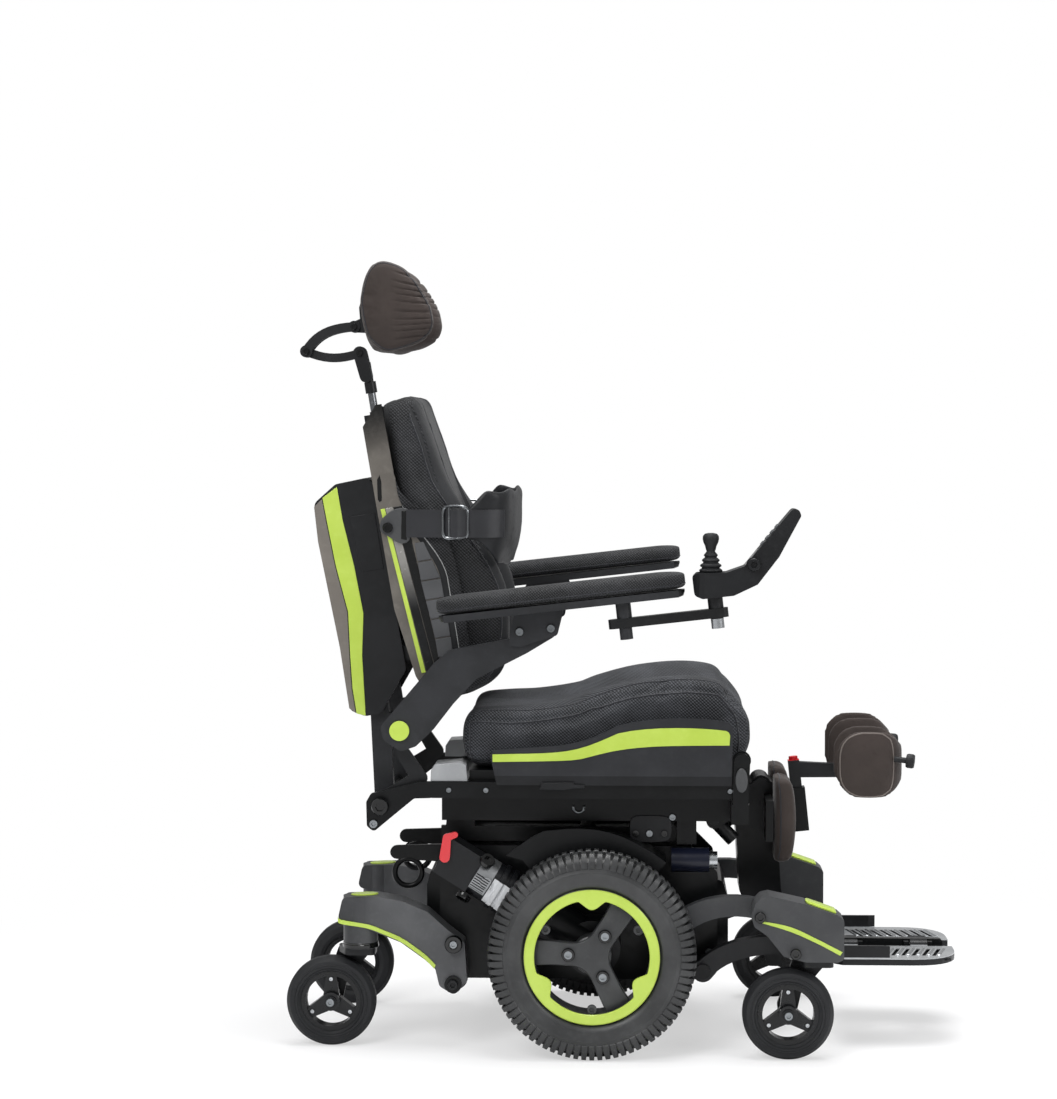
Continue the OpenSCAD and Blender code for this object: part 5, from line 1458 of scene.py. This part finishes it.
@dataclass
class Headrest:
    """Winged head pad.

    Attributes:
        outline: side view of a wing, from its top over the front.
        middle: point that the outline is scaled about.
        rear: place of its rear face.
        sections: side, share of the depth and share of the size.
    """

    outline: tuple[Point2, ...] = (
        (-395, 1362), (-369, 1339), (-343, 1298), (-335, 1278), (-333, 1254), (-346, 1233), (-382, 1215),
        (-417, 1208), (-445, 1228), (-455, 1250), (-462, 1287), (-461, 1312), (-450, 1351), (-428, 1370))
    middle: Point2 = (-395.0, 1288.0)
    rear: float = -462.0
    sections: tuple[tuple[float, float, float], ...] = (
        (-125, 1, 0.72), (-123, 1, 0.86), (-117, 1, 0.96), (-107, 1, 0.985), (-90, 0.92, 0.985),
        (-70, 0.71, 0.985), (-46, 0.52, 0.985), (0, 0.46, 0.985), (46, 0.52, 0.985), (70, 0.71, 0.985),
        (90, 0.92, 0.985),
        (107, 1, 0.985), (117, 1, 0.96), (123, 1, 0.86), (125, 1, 0.72))

    def scaled(self, size: float) -> list[Point2]:
        """Outline at another size."""
        x0, z0 = self.middle
        return [(x0 + (x - x0) * size, z0 + (z - z0) * size) for x, z in spline(self.outline, 5, closed=True)]

    def build(self, tools: Tools) -> None:
        """Make the pad with its gathered wings, edge piping and rear bracket."""
        rings = [[(self.rear + (x - self.rear) * deep, y, z) for x, z in self.scaled(size)]
                 for y, deep, size in spline(self.sections, 3)]
        piece = Solid().loft(rings).build("headrest_cover", Finishes.stretch)
        Stuffing(voxel=2.8, cap=3.5).fill(
            piece, lambda p: 1.0 if p.x < self.rear + 3 and abs(p.y) < 50 else 0.0)

        def gather(p: Vector, n: Vector) -> Optional[Vector]:
            """Pleats that run from the wing's front edge over its side."""
            if abs(p.y) < 88 or p.x < -412:
                return None
            fade = ease((p.x + 412) / 34) * ease((-334 - p.x) / 14) * ease((abs(p.y) - 88) / 20)
            fan = p.z + 0.22 * (p.x + 372) * (p.z - 1272) / 60
            wave = abs(math.sin(fan * 0.26 + 0.7 * math.sin(fan * 0.11)))
            return n * fade * (1.2 - 3.6 * (1 - wave) ** 3)

        sculpt(piece, gather)
        settle(piece, "headrest", "stretch_fabric", "headrest_pad")
        edge = [[(x, side.value * 121.0, z) for x, z in self.scaled(0.95)] for side in Side]
        tools.cord("headrest_piping", "headrest", "stretch_fabric", edge, 1.3, piece, 0.3, closed=True)
        bracket = [(-468.5, 1247), (-463.5, 1246), (-458, 1251), (-462, 1300), (-468.5, 1302), (-472, 1290)]
        lug = [(-493, 1252), (-483, 1247), (-462, 1246), (-458, 1262), (-462, 1276), (-480, 1268),
               (-491, 1264)]
        solid = Solid().slab(bracket, -34, 34).slab(lug, -7.6, 7.6)
        settle(solid.build("headrest_bracket", Finishes.powder_black, bevel=1.0), "headrest", "black_metal")
        for name, body, reach, place in (("high", "headrest_upper_link", 14.0, (-483, 1257)),
                                         ("elbow", "headrest_lower_link", 15.0, (-569, 1213)),
                                         ("low", "headrest_lower_link", 13.5, (-473, 1210))):
            spots = [spot for side in Side for spot in facing(side, reach, place)]
            tools.screws(f"headrest_{name}_screws", body, 6.0, spots, Finishes.gloss_black, "black_metal")


@dataclass
class Arms:
    """Arm pads and the hardware of the folding arms.

    Attributes:
        start: rear end of the right pad's underside.
        length: length of a pad.
        width: width of a pad.
        tall: height of a pad.
        offset: distance of a pad's middle from the middle plane.
        slope: rise of the pads in degrees.
        raised: extra height of the left pad.
    """

    start: Point2 = (-318.0, 756.4)
    length: float = 430.0
    width: float = 62.0
    tall: float = 29.0
    offset: float = 284.0
    slope: float = 6.4
    raised: float = 22.0

    def foot(self, side: Side) -> float:
        """Height of the rear end of a pad's underside."""
        return self.start[1] + (self.raised if side is Side.LEFT else 0.0)

    def place(self, u: float, y: float, w: float, side: Side) -> Point3:
        """Point on the chair from a pad's own frame of length, side and height."""
        turn = math.radians(self.slope)
        return (self.start[0] + u * math.cos(turn) - w * math.sin(turn), side.value * self.offset + y,
                self.foot(side) + u * math.sin(turn) + w * math.cos(turn))

    def height(self, p: Vector, side: Side) -> float:
        """Height of a point over a pad's underside."""
        turn = math.radians(self.slope)
        return (p.z - self.foot(side)) * math.cos(turn) - (p.x - self.start[0]) * math.sin(turn)

    def pad(self, tools: Tools, side: Side) -> None:
        """Make one pad, with its edge seam."""
        body, half, middle = f"armrest_{side.tag}", self.width / 2, self.length / 2
        steps = [2.0 + half * (1 - math.cos(math.radians(9 * i + 12))) for i in range(9)]
        places = steps + [60 + i * (self.length - 120) / 12 for i in range(13)]
        places += [self.length - u for u in steps]
        rings = []
        for u in sorted(places):
            end = min(u, self.length - u)
            wide = math.sqrt(max(9.0, half ** 2 - max(0.0, half - end) ** 2))
            bulge = 0.55 + 0.45 * wide / half
            rings.append([self.place(u, wide * c, 1.0 + (self.tall / 2) * (1 + s * bulge), side)
                          for c, s in pillow(32, 0.55)])
        piece = Solid().loft(rings).build(f"arm_pad_{side.tag}_cover", Finishes.pad_mesh)
        Stuffing(voxel=4.5, cap=2.2).fill(piece, lambda p: 1.0 if self.height(p, side) < 3 else 0.0)
        settle(piece, body, "arm_pad", f"arm_pad_{side.tag}")
        path = [self.place(middle + middle * c, half * s, 9.0, side) for c, s in pillow(120, 0.35, 0.6)]
        tools.cord(f"arm_pad_{side.tag}_seam", body, "arm_pad", [path], 1.1, piece, closed=True)

    def hardware(self, tools: Tools, side: Side) -> None:
        """Tray under a pad, and the screws of the link that carries it."""
        body, half, middle = f"armrest_{side.tag}", self.width / 2 - 2.0, self.length / 2
        tray = [[self.place(middle + (middle - 5 + grow) * c, (half + grow) * s, w, side)
                 for c, s in pillow(72, 0.3, 0.55)] for w, grow in (
                     (-13.0, -9.0), (-11.0, -3.0), (-4.0, 0.0), (-0.6, 0.0), (-0.6, -4.0), (-9.0, -8.0))]
        solid = Solid().loft(tray + [tray[0]], capped=False)
        settle(solid.build(f"arm_tray_{side.tag}", Finishes.frame_black), body, "black_plastic")
        spots = facing(side, 264.0, (-176.5, 728), (-123, 734))
        tools.screws(f"arm_link_screws_{side.tag}", body, 7.0, spots, Finishes.steel, "steel")

    def build(self, tools: Tools) -> None:
        """Make both pads and their hardware."""
        for side in Side:
            self.pad(tools, side)
            self.hardware(tools, side)


@dataclass
class Controls:
    """Joystick boot and knob, and the keys of the control panel.

    Attributes:
        pivot: joystick pivot in the side view.
        offset: place across the chair.
    """

    pivot: Point2 = (148.5, 820.0)
    offset: float = -284.0

    def stick(self) -> None:
        """Make the ribbed boot and the waisted knob."""
        x, z = self.pivot
        boot = [(0, 12), (18.6, 12), (19.8, 13.6), (19.6, 15.6), (15.4, 18.4), (15.2, 19.6), (18, 21.4),
                (18.2, 22.8), (17.6, 24.4), (13, 27.4), (12.8, 28.6), (15, 30.4), (15.2, 31.8), (14.6, 33.2),
                (10.4, 36.4), (10.2, 37.6), (11.8, 39.4), (11.9, 40.6), (11, 42), (7.6, 46), (7, 50), (0, 50)]
        knob = [(0, 47), (7.2, 47), (8.4, 50), (9.8, 56), (12.6, 62), (14, 68), (13.4, 73), (10.4, 76.6),
                (5, 78), (0, 78)]
        stem = [(0, -5), (5, -5), (5, 14), (0, 14)]
        solid = Solid()
        for profile, steps in ((boot, 40), (knob, 40), (stem, 20)):
            solid.lathe(profile, (x, self.offset, z), (0, 0, 1), steps)
        settle(solid.build("joystick_boot", Finishes.soft_black), "joystick", "black_plastic", "joystick")

    def keys(self, tools: Tools) -> None:
        """Set rounded keys and a dark screen on the sloped panel."""
        edge = [(-7, -4), (0, -4.6), (7, -4), (8, 0), (7, 4), (0, 4.6), (-7, 4), (-8, 0)]
        outline = spline(edge, 2, closed=True)
        rings = [[(x * s, y * s, z) for x, y in outline] for z, s in ((0.0, 1.0), (1.6, 1.0), (2.4, 0.86))]
        key = Solid().loft(rings).build("key_template", Finishes.key_grey)
        run = Vector((47.0, 0, 56.0)).normalized()
        out = (-run.z, 0.0, run.x)
        spots = []
        for row in range(4):
            for col in (-16.0, 0.0, 16.0):
                p = Vector((231.0, 0, 874.0)) + run * (8.0 + 12.5 * row)
                spots.append(Spot((p.x, self.offset + col, p.z), out, (0.0, 1.0, 0.0)))
        piece = tools.repeats.set_out("control_keys", key, spots, Finishes.key_grey, 0.9)
        settle(piece, "control_box", "black_plastic")
        bpy.data.objects.remove(key)
        strip = [(206, 844.5), (227, 871), (228, 870), (207, 843)]
        solid = Solid().slab(strip, self.offset - 20, self.offset + 20)
        settle(solid.build("control_screen", Finishes.gloss_black, bevel=0.3), "control_box", "black_plastic")
        spots = [Spot((220, self.offset - 33.4, 846), (0, -1, 0))]
        tools.screws("paddle_face", "control_paddle", 11.0, spots, Finishes.plastic_black, "black_plastic")

    def build(self, tools: Tools) -> None:
        """Make the stick and the panel."""
        self.stick()
        self.keys(tools)


@dataclass
class Legs:
    """Calf pads, knee cups with their knobs, footplate ribs and the sheets under them.

    Attributes:
        knee: middle of the knee cups in the side view.
        inner: inside face of a cup.
        outer: outside face of a cup.
        calf_rear: rear face of the calf pads.
        calf_z: middle height of the calf pads.
        calf_y: distance of a calf pad's middle from the middle plane.
        foot_y: distance of a footplate's ribs from the middle plane.
    """

    knee: Point2 = (428.0, 492.0)
    inner: float = 67.0
    outer: float = 179.0
    calf_rear: float = 264.4
    calf_z: float = 390.0
    calf_y: float = 98.0
    foot_y: float = 96.0

    def cup(self, tools: Tools, side: Side) -> None:
        """One padded knee cup: a wall bent round the front of the knee."""
        x0, z0 = self.knee
        wall = ((-56, 7), (-20, 6.5), (14, 8), (38, 18), (50, 38))
        path = spline([(x, y - self.outer) for x, y in wall] + [(53, -(self.inner + self.outer) / 2)]
                      + [(x, -self.inner - y) for x, y in reversed(wall)], 6)
        rings = []
        for i, ((x, y), (nx, ny)) in enumerate(zip(path, normals(path))):
            tall = 60.0 * max(0.16, 1 - abs(x / 59.5) ** 2.7) ** 0.42
            thick = 5.4 * (0.6 + 0.4 * ease(min(i, len(path) - 1 - i) / 4))
            rings.append([(x0 + x + nx * thick * u, y + ny * thick * u, z0 + tall * v)
                          for u, v in pillow(28, 0.7, 0.45)])
        piece = Solid().loft(rings).mirrored(side).build(f"knee_cup_{side.tag}", Finishes.stretch)
        Stuffing(voxel=4.0, pressure=3.0, cap=1.2).fill(piece, lambda p: 0.0)
        settle(piece, "knee_support", "stretch_fabric", *(("knee_pads",) if side is Side.RIGHT else ()))
        rim = [(x0 + 55 * c, side.value * (self.outer + 2), z0 + 58 * s) for c, s in pillow(72, 0.75)]
        tools.cord(f"knee_cup_piping_{side.tag}", "knee_support", "stretch_fabric", [rim], 1.3, piece,
                   closed=True, finish=Finishes.pale_cord)
        knob = [(0, -14), (5, -14), (5, 6), (11, 7), (12.5, 10), (12.5, 18), (11, 21), (0, 22)]
        solid = Solid().lathe(knob, (484, side.value * 168.0, 500), (0.96, side.value * 0.18, -0.1), 20)
        settle(solid.build(f"knee_knob_{side.tag}", Finishes.soft_black), "knee_support", "black_plastic")

    def calf(self, tools: Tools, side: Side) -> None:
        """One calf pad, dished down its middle."""
        rows = ((316, 0.7, 22), (320, 0.88, 30), (334, 0.97, 36), (390, 0.98, 40), (446, 0.97, 36),
                (460, 0.88, 30), (464, 0.7, 22))
        half_wide, dish_deep, dish_wide = 50.0, 8.0, 30
        rings = []
        for z, share, deep in spline(rows, 4):
            ring = []
            for c, s in pillow(36, 0.5):
                v = -half_wide * share * c
                dish = dish_deep * math.exp(-(v / dish_wide) ** 2) if s > 0 else 0.0
                ring.append((self.calf_rear + deep / 2 + deep / 2 * s - dish, -self.calf_y + v, z))
            rings.append(ring)
        piece = Solid().loft(rings).mirrored(side).build(f"calf_pad_{side.tag}", Finishes.stretch)
        Stuffing(voxel=4.5, cap=2.0).fill(piece, lambda p: 1.0 if p.x < 266 else 0.0)
        settle(piece, "legrest", "stretch_fabric", *(("calf_pads",) if side is Side.RIGHT else ()))
        rim = [(274, side.value * self.calf_y + 52 * c, self.calf_z + 76 * s) for c, s in pillow(72, 0.6)]
        tools.cord(f"calf_piping_{side.tag}", "legrest", "stretch_fabric", [rim], 1.3, piece, closed=True)

    def feet(self, tools: Tools, side: Side) -> None:
        """Raised ribs between the footplate's slots, and the dark sheet under them."""
        body, first, pitch = f"footplate_{side.tag}", 417.5, 18
        half_wide, half_long = 2.2, 34.0
        rings = []
        for z, s in ((-0.4, 1.0), (0.8, 1.0), (1.5, 0.6)):
            x, y = half_wide * s, half_long - 2 * (1 - s)
            rings.append([(-x, -y, z), (x, -y, z), (x, y, z), (-x, y, z)])
        rib = Solid().loft(rings).build("rib_template", Finishes.silver)
        run = Vector((16.0, 68.0 * -side.value, 0)).normalized()
        spots = [Spot((first + pitch * i, side.value * self.foot_y, 152.0), (0, 0, 1), (run.y, -run.x, 0.0))
                 for i in range(9)]
        piece = tools.repeats.set_out(f"footplate_ribs_{side.tag}", rib, spots, Finishes.silver)
        settle(piece, body, "silver")
        bpy.data.objects.remove(rib)
        # Dark sheet under the footplate's slots, so that they show black.
        sheet = [(402, 145), (574, 145), (574, 146.5), (402, 146.5)]
        plate("footplate_grip", side, sheet, (-138.0, -54.0), Finishes.soft_black, body, "black_plastic")

    def build(self, tools: Tools) -> None:
        """Make the leg pads and the footplate ribs."""
        for side in Side:
            self.cup(tools, side)
            self.calf(tools, side)
            self.feet(tools, side)


@dataclass
class Hardware:
    """Screws, motor caps and small covers of the base and seat frame."""

    def motors(self, tools: Tools) -> None:
        """Slotted brush caps of the drive motors."""
        run, radius, offset = (math.cos(MOTOR_HEADING), math.sin(MOTOR_HEADING)), 44.5, 196
        for side in Side:
            spots = []
            for reach, lift in ((234.4, 28.8), (236.3, -38.3)):
                rise = lift / 42.0
                out = (run[1] * rise, side.value * math.sqrt(1 - rise ** 2), -run[0] * rise)
                middle = Vector((AXLE[0] + reach * run[0], side.value * offset, AXLE[1] + reach * run[1]))
                spots.append(Spot(tuple(middle + Vector(out) * radius), out))
            tools.screws(f"motor_brush_caps_{side.tag}", "base", 13.0, spots, Finishes.gloss_black,
                         "black_plastic")

    def frame(self, tools: Tools) -> None:
        """Screws, lugs, rings, caps and small covers of the tilt frame, seat rails and hip brackets."""
        lug = spline([(12, 372), (18, 358), (46, 355), (76, 358), (84, 372), (80, 398), (46, 402), (16, 398)],
                     4, closed=True)
        ring = [(x, -173.0, z) for x, z in circle((-77, 416), 9.5, 180, 360, 12)]
        oval = [(203 + 10.5 * c, 473 + 21 * s) for c, s in pillow(32, 1.0)]
        lid = [(-332, 466.3), (-331, 486), (-324, 496), (-280, 499), (-271, 494), (-268, 466.3)]
        clip = [(-143, 455), (-140, 467), (-84, 468), (-84, 464), (-66, 463), (-66, 458), (-84, 457),
                (-100, 454)]
        rail = [(x, 452) for x in (-300, -236, 184)]
        sides = ((130, 240), (150, 160), (-250, 300), (40, 318))
        for side in Side:
            beam = facing(side, 171.0, (86, 399)) + facing(side, 174.0, (46, 371))
            tools.screws(f"tilt_beam_screws_{side.tag}", "tilt_frame", 6.0, beam, Finishes.steel, "steel")
            # Black discs on the lug's holes: painted shade of the openings.
            holes = facing(side, 173.6, (22, 371), (72, 371))
            tools.screws(f"tilt_lug_holes_{side.tag}", "tilt_frame", 6.0, holes, Finishes.gloss_black,
                         "black_metal")
            plate("tilt_lug", side, lug, (-174.0, -170.5), Finishes.powder_black, "tilt_frame",
                  "black_metal", 0.8)
            solid = Solid().tube([(-86.5, -170, 418)] + ring + [(-67.5, -170, 418)], 2.2).mirrored(side)
            settle(solid.build(f"tilt_ring_{side.tag}", Finishes.steel), "tilt_frame", "steel")
            plate("upright_cap", side, oval, (-252.5, -247.0), Finishes.link_grey, "tilt_frame",
                  "black_plastic", 1.5)
            for name, body, radius, reach, places, finish, slot in (
                    ("seat_rail_screws", "seat", 4.5, 230.0, rail, Finishes.steel, "steel"),
                    ("hip_cross_screw", "seat", 7.5, 230.0, [(-430, 393)], Finishes.steel, "steel"),
                    ("hip_cap", "back_carrier", 15.0, 236.6, [HIP], Finishes.gloss_black, "black_plastic"),
                    ("chassis_screws", "base", 6.0, 150.0, sides, Finishes.steel, "steel")):
                tools.screws(f"{name}_{side.tag}", body, radius, facing(side, reach, *places), finish, slot)
            plate("rear_cover", side, lid, (-226, -158), Finishes.cover_grey, "seat", "black_plastic", 1.2)
            plate("belt_clip", side, clip, (-245.0, -239.5), Finishes.plastic_black, "seat",
                  "black_plastic", 1.0)

    def build(self, tools: Tools) -> None:
        """Set all the hardware."""
        self.motors(tools)
        self.frame(tools)


@dataclass
class Tools:
    """Node trees and templates shared by the sub-assemblies."""

    repeats: Repeats = field(default_factory=Repeats)
    piping: Piping = field(default_factory=Piping)
    bolt: Optional[bpy.types.Object] = None

    def __post_init__(self) -> None:
        """Make the screw template."""
        self.bolt = self.screw()

    def screw(self) -> bpy.types.Object:
        """Socket screw of head radius one millimetre, standing on the origin.

        Returns:
            The template object.
        """
        sides = 18
        rings = []
        for radius, height, hexed in ((1.0, 0.0, False), (1.0, 0.55, False), (0.9, 0.7, False),
                                      (0.56, 0.7, True), (0.52, 0.25, True)):
            ring = []
            for i in range(sides):
                turn = 2 * math.pi * i / sides
                flat = math.cos(math.pi / 6) / math.cos(turn % (math.pi / 3) - math.pi / 6) if hexed else 1.0
                ring.append((radius * flat * math.cos(turn), radius * flat * math.sin(turn), height))
            rings.append(ring)
        return Solid().loft(rings).build("screw_template", Finishes.steel, sharp=30.0)

    def screws(self, name: str, body: str, radius: float, spots: Sequence[Spot], finish: Finish,
               slot: str) -> None:
        """Set screws on a body.

        Args:
            name: the new object's name.
            body: body that they ride on.
            radius: radius of a head in millimetres.
            spots: where they sit.
            finish: their finish.
            slot: the record's material slot.
        """
        settle(self.repeats.set_out(name, self.bolt, spots, finish, radius), body, slot)

    def cord(self, name: str, body: str, slot: str, paths: Sequence[Sequence[Point3]], radius: float,
             on: bpy.types.Object, sunk: float = 0.2, closed: bool = False,
             finish: Finish = Finishes.edge_cloth) -> None:
        """Lay cords on a padded piece.

        Args:
            name: the new object's name.
            body: body that they ride on.
            slot: the record's material slot.
            paths: points of each path, in millimetres.
            radius: the cord's radius in millimetres.
            on: piece whose skin they are pressed onto.
            sunk: how far the cord's middle lies under that skin.
            closed: join each path's end to its start.
            finish: their finish.
        """
        settle(self.piping.lay(name, paths, radius, finish, on, sunk, closed), body, slot)

    def put_away(self) -> None:
        """Remove the templates."""
        bpy.data.objects.remove(self.bolt)


class Studio:
    """Camera, lights and floor."""

    eye: Point3 = (20.0, -5200.0, 1072.0)
    look: Point3 = (-106.5, 2900.0, -119.5)
    lens: float = 95.0
    ambient: float = 0.3
    seen: float = 0.7
    mirrored: float = 0.2

    def camera(self) -> None:
        """Place the camera at the photograph's viewpoint."""
        data = bpy.data.cameras.new("view")
        data.lens = self.lens
        data.sensor_fit = "VERTICAL"
        data.sensor_height = 36.0
        data.clip_end = 60.0
        view = bpy.data.objects.new("view", data)
        view.location = Vector(self.eye) * MM
        view.rotation_euler = Vector(self.look).to_track_quat("-Z", "Y").to_euler()
        bpy.context.scene.collection.objects.link(view)
        bpy.context.scene.camera = view

    def lamp(self, name: str, place: Point3, target: Point3, size: float, power: float) -> None:
        """Hang a square soft light.

        Args:
            name: the lamp's name.
            place: where it hangs, in metres.
            target: point that it faces.
            size: width in metres.
            power: power in watts.
        """
        data = bpy.data.lights.new(name, "AREA")
        data.size = size
        data.energy = power
        lamp = bpy.data.objects.new(name, data)
        lamp.location = place
        lamp.rotation_euler = (Vector(target) - Vector(place)).to_track_quat("-Z", "Y").to_euler()
        bpy.context.scene.collection.objects.link(lamp)

    def floor(self) -> None:
        """Lay the pale floor."""
        mesh = bpy.data.meshes.new("floor")
        mesh.from_pydata([(-9, -9, 0), (9, -9, 0), (9, 9, 0), (-9, 9, 0)], [], [(0, 1, 2, 3)])
        floor = bpy.data.objects.new("floor", mesh)
        floor.location.z = -0.0005
        bpy.context.scene.collection.objects.link(floor)
        recipe = Recipe("pale_floor")
        at = recipe.coords()
        away = recipe.ease((at.x * at.x + at.y * at.y).math("SQRT"), 700.0, 1700.0)
        seen = recipe.node("ShaderNodeLightPath", {}, {}, "Is Camera Ray")
        white = recipe.node("ShaderNodeEmission", {}, {"Color": (1, 1, 1, 1), "Strength": 1.0})
        mesh.materials.append(recipe.dress({"Base Color": (0.9, 0.9, 0.91, 1), "Roughness": 0.9,
                                            "Specular IOR Level": 0.1}))
        recipe.cover(white, seen * (away * 0.45 + 0.55))

    def sky(self) -> None:
        """Light the room evenly, white where it is seen directly and half as bright in reflections."""
        world = bpy.data.worlds.new("room")
        world.use_nodes = True
        tree = world.node_tree
        tree.nodes.clear()
        out = tree.nodes.new("ShaderNodeOutputWorld")
        glow = tree.nodes.new("ShaderNodeBackground")
        path = tree.nodes.new("ShaderNodeLightPath")
        source: bpy.types.NodeSocket = path.outputs["Is Camera Ray"]
        for name, share, base in (("Is Glossy Ray", self.mirrored, 0.0), ("", self.seen, self.ambient)):
            level = tree.nodes.new("ShaderNodeMath")
            level.operation = "MULTIPLY_ADD"
            tree.links.new(path.outputs[name] if name else source, level.inputs[0])
            level.inputs[1].default_value = share
            if name:
                tree.links.new(source, level.inputs[2])
            else:
                level.inputs[2].default_value = base
            source = level.outputs[0]
        tree.links.new(source, glow.inputs["Strength"])
        tree.links.new(glow.outputs[0], out.inputs["Surface"])
        glow.inputs["Color"].default_value = (1, 1, 1, 1)
        bpy.context.scene.world = world

    def build(self) -> None:
        """Set up the whole studio."""
        bpy.context.scene.view_settings.view_transform = "Standard"
        self.camera()
        self.floor()
        self.sky()
        self.lamp("key", (-1.8, -3.4, 3.6), (0, 0, 0.6), 2.2, 120.0)
        self.lamp("fill", (3.0, -2.2, 2.2), (0, 0, 0.6), 1.8, 46.0)
        self.lamp("top", (0.1, 0.1, 3.7), (0, 0, 0.5), 2.2, 150.0)


class Dressing:
    """Finishes of the solids that keep their own shape."""

    plan: dict[Finish, tuple[str, ...]] = {
        Finishes.frame_black: ("chassis_frame", "base_shroud", "lift_carriage", "tilt_frame",
            "seat_frame", "legrest_post"),
        Finishes.battery: ("batteries",),
        Finishes.motor: ("motors",),
        Finishes.red: ("freewheel_lever",),
        Finishes.tyre: ("drive_tyre",),
        Finishes.rim_black: ("drive_rim",),
        Finishes.rear_grey: ("rear_arm",),
        Finishes.powder_black: ("rear_fork", "front_lower_link", "front_fork", "tilt_actuator_tubes",
            "stand_actuator_tubes", "back_carrier", "headrest_lower_link", "headrest_upper_link"),
        Finishes.caster_rear: ("rear_caster",),
        Finishes.link_grey: ("front_upper_link", "front_housing"),
        Finishes.caster_front: ("front_caster",),
        Finishes.steel: ("lift_stage", "joystick_gimbal"),
        Finishes.chrome: ("tilt_actuator_rods", "stand_actuator_rods"),
        Finishes.panel: ("seat_side_panels",),
        Finishes.seat_mesh: ("seat_cushion",),
        Finishes.back_metal: ("back_frame",),
        Finishes.plastic_black: ("back_shroud", "control_box", "joystick", "control_paddle"),
        Finishes.back_mesh: ("back_cushion",),
        Finishes.webbing: ("chest_belt",),
        Finishes.head_post: ("headrest_post",),
        Finishes.stretch: ("headrest_pad", "calf_pads", "knee_pads"),
        Finishes.arm_charcoal: ("armrest",),
        Finishes.pad_mesh: ("arm_pad",),
        Finishes.swing_paint: ("control_swing_arm",),
        Finishes.foot: ("footplate",),
        Finishes.knee_steel: ("knee_post",)}

    def build(self) -> None:
        """Paint every solid."""
        finishes = {kind: finish for finish, kinds in self.plan.items() for kind in kinds}
        for name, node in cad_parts.items():
            finish = finishes[name.removesuffix("_right").removesuffix("_left")]
            node.data.materials.clear()
            node.data.materials.append(finish.make())
            LOG.info("%s painted %s", name, finish.name)


def main() -> None:
    """Build the studio and every sub-assembly."""
    logging.basicConfig(level=logging.INFO, format="%(name)s: %(message)s")
    Studio().build()
    Dressing().build()
    tools = Tools()
    for assembly in (DriveWheels, Casters, Seat, Back, Headrest, Arms, Controls, Legs, Hardware):
        assembly().build(tools)
    tools.put_away()


if __name__ == "__main__":
    main()
